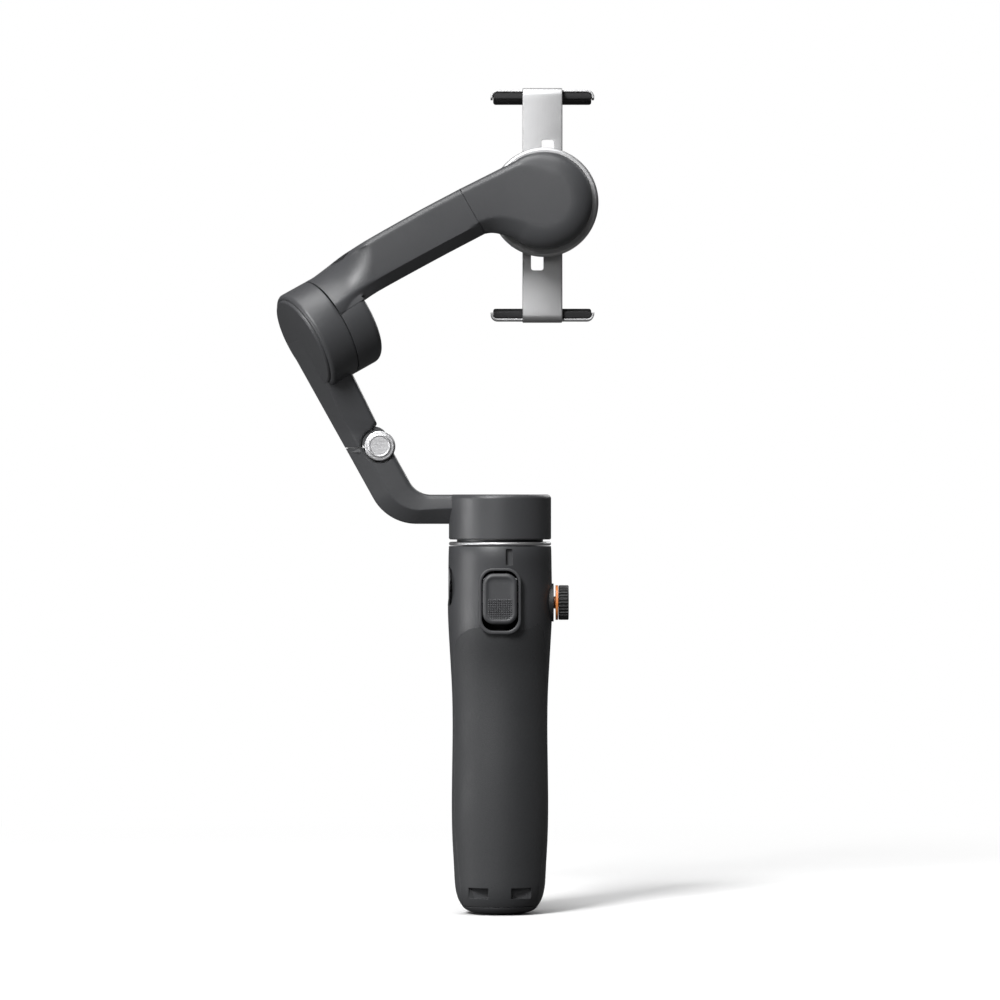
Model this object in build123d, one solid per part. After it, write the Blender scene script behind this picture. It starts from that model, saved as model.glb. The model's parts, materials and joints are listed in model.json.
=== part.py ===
from build123d import *
import os
from math import cos, pi, radians, sin

# Handheld three-axis phone gimbal, in millimetres.
# Origin: mouth of the tripod socket, on the pan axis. +Z up, the trigger faces -Y,
# the phone's screen and the thumb controls face +Y.

# ---- driving dimensions -------------------------------------------------------------------
# handle: height, half width, depth to the front, depth to the rear
HANDLE_PLAN = [
    (3.2, 13.8, 12.6, 14.6),
    (6.3, 15.4, 13.8, 16.0),
    (15.0, 16.5, 14.6, 17.2),
    (26.0, 17.1, 15.0, 17.8),
    (55.0, 17.2, 15.3, 18.3),
    (80.5, 17.3, 14.9, 18.8),
    (90.0, 17.8, 15.8, 19.1),
    (98.5, 18.3, 17.7, 19.4),
    (104.0, 18.6, 18.6, 19.5),
    (113.0, 18.8, 18.8, 19.5),
    (124.0, 18.6, 18.6, 19.0),
    (132.3, 18.4, 18.4, 18.4),
]
CAP_PLAN = [
    (0.0, 6.5, 6.2, 6.8),
    (0.5, 9.4, 8.8, 9.8),
    (1.4, 12.0, 11.1, 12.6),
    (3.0, 13.7, 12.5, 14.5),
]
HANDLE_TOP = 132.3
WALL = 2.2
GRIP_SKIN = 1.2
SHELL_SPLIT_Y = 1.0
GRIP_HALF_WIDTH = 16.3
GRIP_FOOT_HALF_WIDTH = 13.0
GRIP_TAPER_Z = 32.0
GRIP_SHOULDER_Z = 94.0
GRIP_ARCH_Z = 103.5

# telescopic rod
STAGE_RADII = (8.2, 7.1, 6.0)
STAGE_WALL = 0.9
STAGE_BASE_Z = (14.0, 16.0, 18.0)
STAGE_TOP_Z = (114.0, 116.0, 118.0)
GUIDE_BORE = 8.25
GUIDE_RADIUS = 9.2
KNUCKLE_Z = 124.0
KNUCKLE_RADIUS = 4.2
TONGUE_WIDTH = 4.0

# collar and pan motor
RING_Z0 = 132.5
RING_Z1 = 133.9
NECK_RADIUS = 15.5
MOTOR_RADIUS = 18.4
PAN_Z0 = 134.7
PAN_Z1 = 150.9
MOTOR_WALL = 1.7

# lower arm, drawn in the XZ plane
ARM_BOTTOM_Z = 140.3
ARM_HALF_DEPTH = 7.2
ARM_SLOPE = 61.0
INNER_CORNER_X = -30.0
OUTER_CORNER_X = -40.5
INNER_BEND = 8.8
OUTER_BEND = 17.8

# fold hinge, along Y
HINGE = (-43.2, 0.0, 168.3)
BARREL_RADIUS = 5.4
BARREL_HALF = 7.0
LUG_HALF = 3.4
HINGE_PIN_RADIUS = 2.4
PARTING_Z = 167.6

# tilt motor at the elbow: its axis runs up, to the right and away from the front
ELBOW = (-61.1, -7.6, 210.6)
AXIS_RISE = 30.0
AXIS_DEPTH = 18.5
TILT_RADIUS = 18.6
TILT_CAP_S = -12.6
TILT_END_S = 11.3
LINK_FAR = -17.0
LINK_NEAR = -3.6
LINK_INNER_S = -1.2
COVER_THICKNESS = 1.5

# upper arm and roll motor, whose axis is along Y
ROLL = (15.9, 0.0, 256.5)
DOME_RADIUS = 17.4
DOME_FRONT_Y = -11.0
DOME_SEAM_Y = -4.2
ROLL_SEAM_Y = 2.0
ARM_FRONT_ELBOW_Y = -23.4
UPPER_ARM_THICKNESS = 9.0

# quick-release plate and phone clamp
ROTOR_RADIUS = 16.8
ROTOR_Y = (2.3, 5.3)
BASE_RADIUS = 19.7
BASE_Y = (5.6, 9.8)
STRAP_WIDTH = 14.5
STRAP_THICKNESS = 1.2
UPPER_STRAP_Y = 13.7
LOWER_STRAP_Y = 15.2
JAW_WIDTH = 37.7
JAW_REACH_Y = 28.4
JAW_OPENING = 77.6
PAD_THICKNESS = 2.3
PLATE_THICKNESS = 0.8
CLAMP_BODY = (11.4, 15.0)
CLAMP_CENTRE = (15.4, 255.9)
PINION_TEETH = 10
PINION_MODULE = 0.6
PITCH_RADIUS = PINION_TEETH * PINION_MODULE / 2

# motor insides, shared by the three motors
SHAFT_RADIUS = 2.5
BEARING_RADIUS = 5.5
STATOR_RADIUS = 12.6
MAGNET_RADIUS = 13.1
COILS = 12

# controls
TRIGGER_Z = (104.6, 122.7)
TRIGGER_HALF_WIDTH = 6.3
TRIGGER_PIVOT_YZ = (-15.2, 120.6)
FRAME_HALF_WIDTH = 7.6
FRAME_Z = (101.0, 124.6)
WHEEL_Z = 112.0
WHEEL_RADIUS = 6.25
WHEEL_X = (21.05, 24.7)
POWER_YZ = (-3.0, 117.7)
POWER_RADIUS = 6.75
STICK_Z = 99.0
STICK_PIVOT_Y = 14.6
RECORD_Z = 113.5
MODE_Z = 86.5
PANEL_Z = (80.0, 128.0)
PANEL_HALF_WIDTH = 8.6
TRIPOD_MINOR_RADIUS = 2.6
SCREW_X = (-9.6, 9.6)


# ---- small helpers ------------------------------------------------------------------------
def save(shape, node):
    export_step(shape, "parts/" + node + ".step")


def rod(radius, low, high):
    """A cylinder along local Z from low to high."""
    return Pos(0, 0, low) * Cylinder(radius, high - low, align=(Align.CENTER, Align.CENTER, Align.MIN))


def pipe(inner, outer, low, high):
    """A tube along local Z from low to high."""
    return rod(outer, low, high) - rod(inner, low - 1, high + 1)


def block(x, y, z):
    """A box between the two values given for each axis."""
    size = (x[1] - x[0], y[1] - y[0], z[1] - z[0])
    middle = ((x[0] + x[1]) / 2, (y[0] + y[1]) / 2, (z[0] + z[1]) / 2)
    return Pos(*middle) * Box(*size)


def along_x(y, z):
    """A frame whose local Z runs along +X."""
    return Plane(origin=(0, y, z), x_dir=(0, 1, 0), z_dir=(1, 0, 0))


def along_y(x, z):
    """A frame whose local Z runs along +Y."""
    return Plane(origin=(x, 0, z), x_dir=(1, 0, 0), z_dir=(0, 1, 0))


def front_pad(half_width, z, y, corner):
    """A rounded rectangle in the XZ plane, pushed through the two y values."""
    centre = along_y(0, (z[0] + z[1]) / 2)
    outline = RectangleRounded(2 * half_width, z[1] - z[0], corner)
    return centre * (Pos(0, 0, y[0]) * extrude(outline, y[1] - y[0]))


# ---- handle -------------------------------------------------------------------------------
def plan(height, half_width, front, rear):
    """One egg-shaped section: a shallow half ellipse in front, a deeper one behind."""
    behind = EllipticalCenterArc((0, 0, height), half_width, rear, 0, arc_size=180)
    before = EllipticalCenterArc((0, 0, height), half_width, front, 180, arc_size=180)
    return make_face([behind, before])


def handle_form(inset, low=3.2, high=HANDLE_TOP):
    """The handle's outer form, pulled in by an inset, between two heights."""
    faces = [plan(z, w - inset, f - inset, r - inset) for z, w, f, r in HANDLE_PLAN]
    whole = loft(faces)
    return whole & block((-30, 30), (-30, 30), (low, high))


def grip_region():
    """What the soft front grip covers: an arched window over the front half."""
    shoulder = GRIP_SHOULDER_Z
    arch = [
        (-GRIP_HALF_WIDTH, shoulder),
        (-0.6 * GRIP_HALF_WIDTH, GRIP_ARCH_Z - 0.6),
        (0, GRIP_ARCH_Z),
        (0.6 * GRIP_HALF_WIDTH, GRIP_ARCH_Z - 0.6),
        (GRIP_HALF_WIDTH, shoulder),
    ]
    outline = Spline(*arch, tangents=((0, 1), (0, -1)))
    right_side = [(GRIP_HALF_WIDTH, shoulder), (GRIP_HALF_WIDTH, GRIP_TAPER_Z), (GRIP_FOOT_HALF_WIDTH, 0)]
    left_side = [(-x, z) for x, z in reversed(right_side)]
    sides = Polyline(*right_side, *left_side)
    window = make_face([outline, sides])
    return Plane.XZ * extrude(window, 30)


def lanyard_slots():
    """Two front slots joined behind a bar, for a wrist strap."""
    slots = block((-11.2, 11.2), (-30, -9.6), (6.2, 10.0))
    bar = block((-4.2, 4.0), (-30, -12.2), (5.0, 11.0))
    return slots - bar


def handle():
    outer = handle_form(0)
    middle = handle_form(GRIP_SKIN)
    inner = handle_form(WALL) & block((-30, 30), (-30, 30), (5.2, HANDLE_TOP))
    grip_tool = grip_region() - middle
    grip = outer & grip_tool
    slots = lanyard_slots()
    frame_hole = front_pad(FRAME_HALF_WIDTH, FRAME_Z, (-30, -12), 5.0)
    status_slot = front_pad(1.22, (125.6, 131.4), (-30, -17.1), 0.5)
    status_slot = Pos(3.28, 0, 0) * status_slot
    wheel_hole = along_x(0, WHEEL_Z) * rod(6.9, 10, 30)
    power_dish = along_x(*POWER_YZ) * (rod(7.15, -30, -17.3) + rod(2.2, -30, -12))
    port = usb_port_form(0)
    panel_tool = panel_window() - middle
    screw_holes = [Pos(x, 0, 0) * rod(0.85, 2, 5.0) for x in SCREW_X]
    lanyard_block = block((-12.6, 12.6), (-30, -8.4), (5.2, 11.6)) & handle_form(WALL - 0.4)
    insert_hole = rod(7.5, 2, 9.6)
    walls = outer - inner + lanyard_block - insert_hole
    walls = walls - grip_tool - slots - frame_hole - status_slot - wheel_hole - power_dish - port - panel_tool
    walls = walls - thumb_openings() - screw_holes
    front = walls & block((-30, 30), (-30, SHELL_SPLIT_Y - 0.03), (0, 140))
    rear = walls & block((-30, 30), (SHELL_SPLIT_Y + 0.03, 30), (0, 140))
    save(front, "front_shell")
    save(rear, "rear_shell")
    save(grip - slots - frame_hole, "front_grip")

    cap = loft([plan(*row) for row in CAP_PLAN])
    cap = cap - rod(5.0, -1, 12) + pipe(5.0, 7.4, 2.9, 9.6)
    for x in SCREW_X:
        cap = cap - Pos(x, 0, 0) * (rod(1.8, -1, 2.2) + rod(0.9, -1, 5))
    save(cap, "bottom_cap")
    insert = rod(5.0, 0.3, 9.4) - rod(TRIPOD_MINOR_RADIUS, -1, 9.0)
    save(insert, "tripod_insert")
    screws = [Pos(x, 0, 0) * (rod(1.7, 1.0, 2.2) + rod(0.85, 2.2, 5.0)) for x in SCREW_X]
    save(Compound(children=screws), "handle_screws")


def panel_window():
    return front_pad(PANEL_HALF_WIDTH, PANEL_Z, (5, 30), 5.0)


def panel_form():
    """The thumb panel: a skin on the rear of the handle with rounded corners."""
    return (panel_window() - handle_form(GRIP_SKIN)) & handle_form(0)


def usb_port_form(shrink):
    """The charging port: a flat-sided pill along X on the left side of the rear shell."""
    outline = SlotOverall(10.0 - 2 * shrink, 4.2 - 2 * shrink)
    return along_x(6.0, 102.0) * (Pos(0, 0, -30) * extrude(Rot(0, 0, 90) * outline, 19.5))


def thumb_openings():
    """Holes through the rear for the stick and the two buttons."""
    openings = along_y(0, STICK_Z) * rod(6.6, 5, 30)
    openings += along_y(0, RECORD_Z) * rod(4.75, 5, 30)
    openings += front_pad(3.6, (MODE_Z - 2.1, MODE_Z + 2.1), (5, 30), 2.0)
    return openings


def handle_insides():
    lens_window = front_pad(5.2, (120.6, 125.4), (5, 30), 2.2)
    save(panel_form() - thumb_openings() - lens_window, "control_panel")
    lens_skin = handle_form(0.1) - handle_form(GRIP_SKIN)
    save(lens_skin & front_pad(5.15, (120.65, 125.35), (5, 30), 2.15), "status_lens")

    port = usb_port_form(0.05) & block((-17.5, -10.6), (-30, 30), (80, 120))
    mouth = along_x(6.0, 102.0) * (Pos(0, 0, -30) * extrude(Rot(0, 0, 90) * SlotOverall(9.0, 3.2), 17.0))
    tongue = block((-16.6, -12.5), (5.65, 6.35), (98.7, 105.3))
    save(port - mouth + tongue, "usb_c_socket")

    cells = block((-11.0, 11.0), (9.8, 15.6), (14.0, 78.0)) & handle_form(WALL + 0.5)
    save(cells, "battery")
    save(block((-9.5, 9.5), (9.4, 10.4), (82.0, 126.0)), "main_board")
    guide = pipe(GUIDE_BORE, GUIDE_RADIUS, 13.2, 112.0) + rod(GUIDE_RADIUS, 11.9, 13.2)
    save(guide, "rod_guide_tube")
    plate = pipe(8.8, 15.65, 128.0, 131.9)
    save(plate, "top_plate")

    ring = pipe(15.9, MOTOR_RADIUS, RING_Z0, RING_Z1)
    ring = fillet(ring.edges().filter_by(GeomType.CIRCLE).sort_by(SortBy.RADIUS)[-2:], 0.45)
    ring = ring + pipe(15.7, 16.1, 129.4, RING_Z0)
    save(ring, "collar_ring")


# ---- telescopic rod and head knuckle ------------------------------------------------------
def telescopic_rod():
    for index, node in enumerate(("rod_tube_large", "rod_tube_middle", "rod_tube_small")):
        radius = STAGE_RADII[index]
        low = STAGE_BASE_Z[index]
        high = STAGE_TOP_Z[index]
        tube = pipe(radius - STAGE_WALL, radius, low, high)
        foot = pipe(radius - 2.0, radius, low, low + 1.0)
        shape = tube + foot
        if node == "rod_tube_small":
            shape = shape + rod(radius, high - 2, KNUCKLE_Z)
            shape = shape + along_x(0, KNUCKLE_Z) * rod(KNUCKLE_RADIUS, -6.0, 6.0)
            slot = block((-TONGUE_WIDTH / 2 - 0.15, TONGUE_WIDTH / 2 + 0.15), (-9, 9), (KNUCKLE_Z - 5.0, 140))
            shape = shape - slot - along_x(0, KNUCKLE_Z) * rod(1.5, -9, 9)
            shape = shape & rod(radius, low - 1, 140)
        save(shape, node)
    save(along_x(0, KNUCKLE_Z) * rod(1.5, -5.6, 5.6), "knuckle_pin")


def head_base():
    half = TONGUE_WIDTH / 2
    tongue = along_x(0, KNUCKLE_Z) * rod(KNUCKLE_RADIUS, -half, half)
    tongue += block((-half, half), (-KNUCKLE_RADIUS, KNUCKLE_RADIUS), (KNUCKLE_Z, 133.0))
    tongue -= along_x(0, KNUCKLE_Z) * rod(1.56, -9, 9)
    disc = rod(NECK_RADIUS, 132.7, 136.6)
    base = tongue + disc - rod(SHAFT_RADIUS + 0.4, 135.4, 140)
    save(base, "head_base")


# ---- motors -------------------------------------------------------------------------------
def motor(name, place, stator, magnets, bearing, shaft):
    """Stator with coils, magnet ring, bearing and shaft, each between two heights."""
    core = pipe(BEARING_RADIUS, 8.2, *stator)
    coil_reach = STATOR_RADIUS - 7.8
    coil = Pos(7.8 + coil_reach / 2, 0, (stator[0] + stator[1]) / 2)
    coil = coil * Box(coil_reach, 3.2, stator[1] - stator[0] - 0.8)
    for turn in range(COILS):
        core += Rot(0, 0, turn * 360 / COILS) * coil
    save(place * core, name + "_stator")
    save(place * pipe(MAGNET_RADIUS, MAGNET_RADIUS + 2.2, *magnets), name + "_magnets")
    save(place * pipe(SHAFT_RADIUS + 0.02, BEARING_RADIUS, *bearing), name + "_bearing")
    save(place * rod(SHAFT_RADIUS, *shaft), name + "_shaft")


def pan_motor():
    ceiling = PAN_Z1 - MOTOR_WALL
    housing = rod(MOTOR_RADIUS, PAN_Z0, PAN_Z1)
    rims = housing.edges().filter_by(GeomType.CIRCLE).sort_by(Axis.Z)
    housing = fillet(rims[-1], 1.5)
    housing = chamfer(housing.edges().filter_by(GeomType.CIRCLE).sort_by(Axis.Z)[0], 0.4)
    housing = housing - rod(MOTOR_RADIUS - MOTOR_WALL, PAN_Z0 - 1, ceiling)
    save(housing, "pan_motor_housing")
    motor("pan", Plane.XY, (136.6, 145.6), (138.0, ceiling), (136.8, 141.0), (135.6, ceiling))


# ---- lower arm and fold hinge -------------------------------------------------------------
def lower_arm():
    slope = (-cos(radians(ARM_SLOPE)), sin(radians(ARM_SLOPE)))
    inner_top = (166.0 - PAN_Z1) / slope[1]
    outer_top = (PARTING_Z - 0.15 - ARM_BOTTOM_Z) / slope[1]
    inner_corner = (INNER_CORNER_X, PAN_Z1)
    outer_corner = (OUTER_CORNER_X, ARM_BOTTOM_Z)
    inner_end = (INNER_CORNER_X + slope[0] * inner_top, 166.0)
    outer_end = (OUTER_CORNER_X + slope[0] * outer_top, PARTING_Z - 0.15)
    inner_edge = FilletPolyline((-10, PAN_Z1), inner_corner, inner_end, radius=INNER_BEND)
    outer_edge = FilletPolyline(outer_end, outer_corner, (-10, ARM_BOTTOM_Z), radius=OUTER_BEND)
    top = Polyline(inner_end, (HINGE[0], PARTING_Z - 0.15), outer_end)
    foot = Line((-10, ARM_BOTTOM_Z), (-10, PAN_Z1))
    arm = Plane.XZ * extrude(make_face([inner_edge, top, outer_edge, foot]), ARM_HALF_DEPTH, both=True)
    long_edges = arm.edges().filter_by(lambda e: abs(abs(e.center().Y) - ARM_HALF_DEPTH) < 0.01)
    long_edges = long_edges.filter_by(lambda e: e.center().Z < 166.5 and e.center().X < -12)
    arm = fillet(long_edges, 3.4)
    hinge = along_y(HINGE[0], HINGE[2])
    arm = arm - hinge * rod(BARREL_RADIUS + 0.3, -12, 12)
    lug = hinge * rod(BARREL_RADIUS, -LUG_HALF, LUG_HALF)
    web = block((HINGE[0] - 4.6, HINGE[0] + 3.0), (-LUG_HALF, LUG_HALF), (HINGE[2] - 8, HINGE[2] - 1))
    arm = arm + lug + web - hinge * rod(HINGE_PIN_RADIUS, -12, 12)
    arm = arm - rod(MOTOR_RADIUS, 130, 160)
    save(arm, "lower_arm")

    pin = rod(HINGE_PIN_RADIUS, -BARREL_HALF, BARREL_HALF)
    for side in (-1, 1):
        cap = rod(BARREL_RADIUS, BARREL_HALF + 0.05, BARREL_HALF + 0.75) + rod(4.0, BARREL_HALF, BARREL_HALF + 1.25)
        pin += cap if side == 1 else Rot(180, 0, 0) * cap
    save(hinge * pin, "fold_hinge_pin")


# ---- tilt motor at the elbow --------------------------------------------------------------
def elbow_plane():
    """Local X up along the link, local Y towards the front, local Z along the tilt axis."""
    rise = radians(AXIS_RISE)
    depth = radians(AXIS_DEPTH)
    axis = (cos(depth) * cos(rise), sin(depth), cos(depth) * sin(rise))
    return Plane(origin=ELBOW, x_dir=(-sin(rise), 0, cos(rise)), z_dir=axis)


def arm_link():
    elbow = elbow_plane()
    floor = TILT_CAP_S + COVER_THICKNESS
    drum = rod(TILT_RADIUS, floor, -0.15)
    strip = block((-52, 0), (LINK_FAR, LINK_NEAR), (floor, LINK_INNER_S))
    edges = strip.edges().filter_by(Axis.X).sort_by(Axis.Z)[-2:]
    strip = fillet(edges, 3.2)
    body = drum + strip - rod(TILT_RADIUS - MOTOR_WALL, -9.5, 1)
    body += pipe(BEARING_RADIUS, 8.2, -9.6, -7.0)
    below = Pos(0, 0, PARTING_Z + 0.15 - 20) * Box(200, 200, 40)
    hinge = along_y(HINGE[0], HINGE[2])
    body = elbow * body - below
    body = body - hinge * rod(BARREL_RADIUS + 0.3, -LUG_HALF - 0.3, LUG_HALF + 0.3)
    for side in (-1, 1):
        reach = sorted((side * BARREL_HALF, side * 20))
        body = body - hinge * rod(BARREL_RADIUS + 0.2, *reach)
        ear = sorted((side * (LUG_HALF + 0.3), side * BARREL_HALF))
        body = body + hinge * rod(BARREL_RADIUS, *ear)
    body = body - hinge * rod(HINGE_PIN_RADIUS + 0.05, -12, 12)
    save(body, "arm_link")

    lid = rod(TILT_RADIUS, TILT_CAP_S, floor)
    lid = fillet(lid.edges().filter_by(GeomType.CIRCLE).sort_by(Axis.Z)[0], 1.3)
    lid = lid + block((-52, -10), (LINK_FAR, LINK_NEAR - 1.2), (TILT_CAP_S, floor))
    lid = elbow * lid - below - hinge * rod(BARREL_RADIUS + 0.3, -20, 20)
    save(lid, "link_cover")
    motor("tilt", elbow, (-7.0, 1.5), (-4.0, 9.3), (-6.9, -3.0), (-8.8, 9.3))


def upper_arm():
    """Rotor cup of the tilt motor, the straight arm and the rear ring of the roll motor."""
    elbow = elbow_plane()
    cup = rod(TILT_RADIUS, 0.15, TILT_END_S)
    cup = fillet(cup.edges().filter_by(GeomType.CIRCLE).sort_by(Axis.Z)[-1], 2.4)
    cup = elbow * cup

    length = 88.0
    drift = ARM_FRONT_ELBOW_Y - DOME_FRONT_Y
    lean = -drift / length
    rise = radians(AXIS_RISE)
    ahead = Vector(cos(rise), lean, sin(rise)).normalized()
    upward = Vector(-sin(rise), 0, cos(rise))
    start = Vector(ELBOW[0], ARM_FRONT_ELBOW_Y, ELBOW[2]) + upward * 11.0
    face = Plane(origin=start, x_dir=ahead, z_dir=ahead.cross(upward))
    outline = Polyline(
        (-1.5, 7.6), (40.0, 9.2), (80.0, 8.2), (89.0, 6.6), (89.0, -9.0), (14.0, -9.4), (-1.5, -11.0), close=True
    )
    bar = extrude(make_face(outline), -UPPER_ARM_THICKNESS)
    front_edges = bar.edges().filter_by(lambda e: abs(e.center().Z) < 0.01 and 2 < e.center().X < 86)
    bar = face * fillet(front_edges, 2.0)
    beyond_seam = elbow * block((-60, 60), (-60, 60), (-60, 0.15))
    roll = along_y(ROLL[0], ROLL[2])
    ring = roll * rod(DOME_RADIUS, DOME_SEAM_Y, ROLL_SEAM_Y)
    bar = bar - roll * rod(DOME_RADIUS + 0.02, -40, DOME_SEAM_Y)
    arm = cup + bar - beyond_seam + ring
    arm = arm - elbow * rod(TILT_RADIUS - MOTOR_WALL, -1, 9.3)
    arm = arm - roll * rod(DOME_RADIUS - MOTOR_WALL, -40, 10)
    save(arm, "upper_arm")

    dome = rod(DOME_RADIUS, DOME_FRONT_Y, DOME_SEAM_Y)
    dome = fillet(dome.edges().filter_by(GeomType.CIRCLE).sort_by(Axis.Z)[0], 5.0)
    hollow = rod(DOME_RADIUS - MOTOR_WALL, DOME_FRONT_Y + MOTOR_WALL, 10)
    hollow = fillet(hollow.edges().filter_by(GeomType.CIRCLE).sort_by(Axis.Z)[0], 3.4)
    dome = dome - hollow + pipe(BEARING_RADIUS, 8.2, DOME_FRONT_Y + MOTOR_WALL - 0.1, -7.5)
    save(roll * dome, "roll_motor_cover")
    motor("roll", roll, (-7.5, -0.5), (-6.5, ROTOR_Y[0]), (-7.4, -3.0), (-8.6, ROTOR_Y[0]))


# ---- quick-release rotor and clamp --------------------------------------------------------
def roll_rotor():
    roll = along_y(ROLL[0], ROLL[2])
    disc = rod(ROTOR_RADIUS, *ROTOR_Y)
    disc = fillet(disc.edges().filter_by(GeomType.CIRCLE), 0.5)
    pockets = [Pos(10.5 * cos(radians(a)), 10.5 * sin(radians(a)), 0) for a in (45, 135, 225, 315)]
    for pocket in pockets:
        disc = disc - pocket * rod(3.0, ROTOR_Y[1] - 1.6, 10)
    save(roll * disc, "roll_rotor")
    magnets = [roll * (pocket * rod(3.0, ROTOR_Y[1] - 1.6, ROTOR_Y[1] - 0.1)) for pocket in pockets]
    save(Compound(children=magnets), "mount_magnets")


def clamp_body():
    roll = along_y(ROLL[0], ROLL[2])
    half_x, half_z = CLAMP_BODY
    disc = rod(BASE_RADIUS, *BASE_Y)
    disc = fillet(disc.edges().filter_by(GeomType.CIRCLE).sort_by(Axis.Z)[0], 1.0)
    rails = block((-half_x, -7.45), (-half_z, half_z), (9.7, 16.7))
    rails += block((7.45, half_x), (-half_z, half_z), (9.7, 16.7))
    bridge = block((-7.5, 7.5), (-4.6, 4.6), (9.7, 13.3)) - rod(1.25, 10.5, 20)
    well = rod(3.9, 11.0, 20)
    centre = along_y(*CLAMP_CENTRE)
    body = roll * disc + centre * (rails + bridge - well - rod(1.25, 8.8, 20))
    body = body - centre * rod(1.25, 8.8, 20)
    save(body, "clamp_base")
    cover = extrude(RectangleRounded(2 * half_x, 2 * half_z, 2.5), 1.3)
    save(centre * (Pos(0, 0, 16.8) * cover), "clamp_cover")

    coil_count = 2.5
    inner = 1.6
    pitch = 0.75
    steps = int(coil_count * 8) + 1
    turns = [step / 8 for step in range(steps)]
    path = [
        ((inner + pitch * t) * cos(2 * pi * t), (inner + pitch * t) * sin(2 * pi * t)) for t in turns
    ]
    ribbon = [
        ((inner + 0.3 + pitch * t) * cos(2 * pi * t), (inner + 0.3 + pitch * t) * sin(2 * pi * t)) for t in turns
    ]
    inside = Spline(*path)
    outside = Spline(*ribbon)
    ends = [Line(inside @ 0, outside @ 0), Line(inside @ 1, outside @ 1)]
    spiral = extrude(make_face([inside, outside] + ends), 1.6)
    save(centre * (Pos(0, 0, 11.2) * spiral), "clamp_spring")

    root = PITCH_RADIUS - 0.6
    tip = PITCH_RADIUS + 0.42
    pinion = rod(root, 13.4, 16.5)
    tooth = make_face(Polyline((-0.5, root - 0.2), (0.5, root - 0.2), (0.24, tip), (-0.24, tip), close=True))
    leaf = Pos(0, 0, 13.4) * extrude(tooth, 3.1)
    for index in range(PINION_TEETH):
        pinion += Rot(0, 0, index * 360 / PINION_TEETH) * leaf
    pinion += rod(1.2, 9.0, 13.4)
    save(centre * pinion, "clamp_pinion")


def clamp_arm(node, pad_node, strap_y, flipped):
    """Sheet-metal strap with its rack slot, guide window and jaw plate, and the rubber pad."""
    half = JAW_OPENING / 2
    plate_low = half + PAD_THICKNESS
    top = plate_low + PLATE_THICKNESS
    deep = (strap_y, strap_y + STRAP_THICKNESS)
    strap = block((-STRAP_WIDTH / 2, STRAP_WIDTH / 2), deep, (-10.0, top + 0.7))
    slot = block((-3.9, 3.9), (0, 30), (-7.2, 9.8))
    window = block((-0.35, 4.15), (0, 30), (12.0, 23.7))
    window = fillet(window.edges().filter_by(Axis.Y), 1.0)
    strap = strap - slot - window
    flange = block((-STRAP_WIDTH / 2, STRAP_WIDTH / 2), (strap_y, 24.0), (plate_low, top + 0.7))
    jaw = block((-JAW_WIDTH / 2, JAW_WIDTH / 2), (17.2, JAW_REACH_Y), (plate_low, top))
    jaw = fillet(jaw.edges().filter_by(Axis.Z), 3.0)
    arm = strap + flange + jaw
    tip = PITCH_RADIUS - 0.38
    rack = make_face(Polyline((3.95, -0.5), (3.95, 0.5), (tip, 0.22), (tip, -0.22), close=True))
    rack_tooth = Pos(0, 0, strap_y) * extrude(rack, STRAP_THICKNESS)
    for index in range(-3, 5):
        arm += along_y(0, index * PINION_MODULE * pi) * rack_tooth
    pad = block((-JAW_WIDTH / 2, JAW_WIDTH / 2), (17.4, JAW_REACH_Y), (half, plate_low))
    pad = fillet(pad.edges().filter_by(Axis.Z), 2.9)
    lip = block((-JAW_WIDTH / 2 + 3, JAW_WIDTH / 2 - 3), (26.6, JAW_REACH_Y), (half - 1.4, half + 0.2))
    lip = fillet(lip.edges().filter_by(Axis.X).sort_by(Axis.Z)[:2], 0.6)
    pad = pad + lip
    place = Pos(CLAMP_CENTRE[0], 0, CLAMP_CENTRE[1])
    if flipped:
        place = place * Rot(0, 180, 0)
    save(place * arm, node)
    save(place * pad, pad_node)


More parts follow.
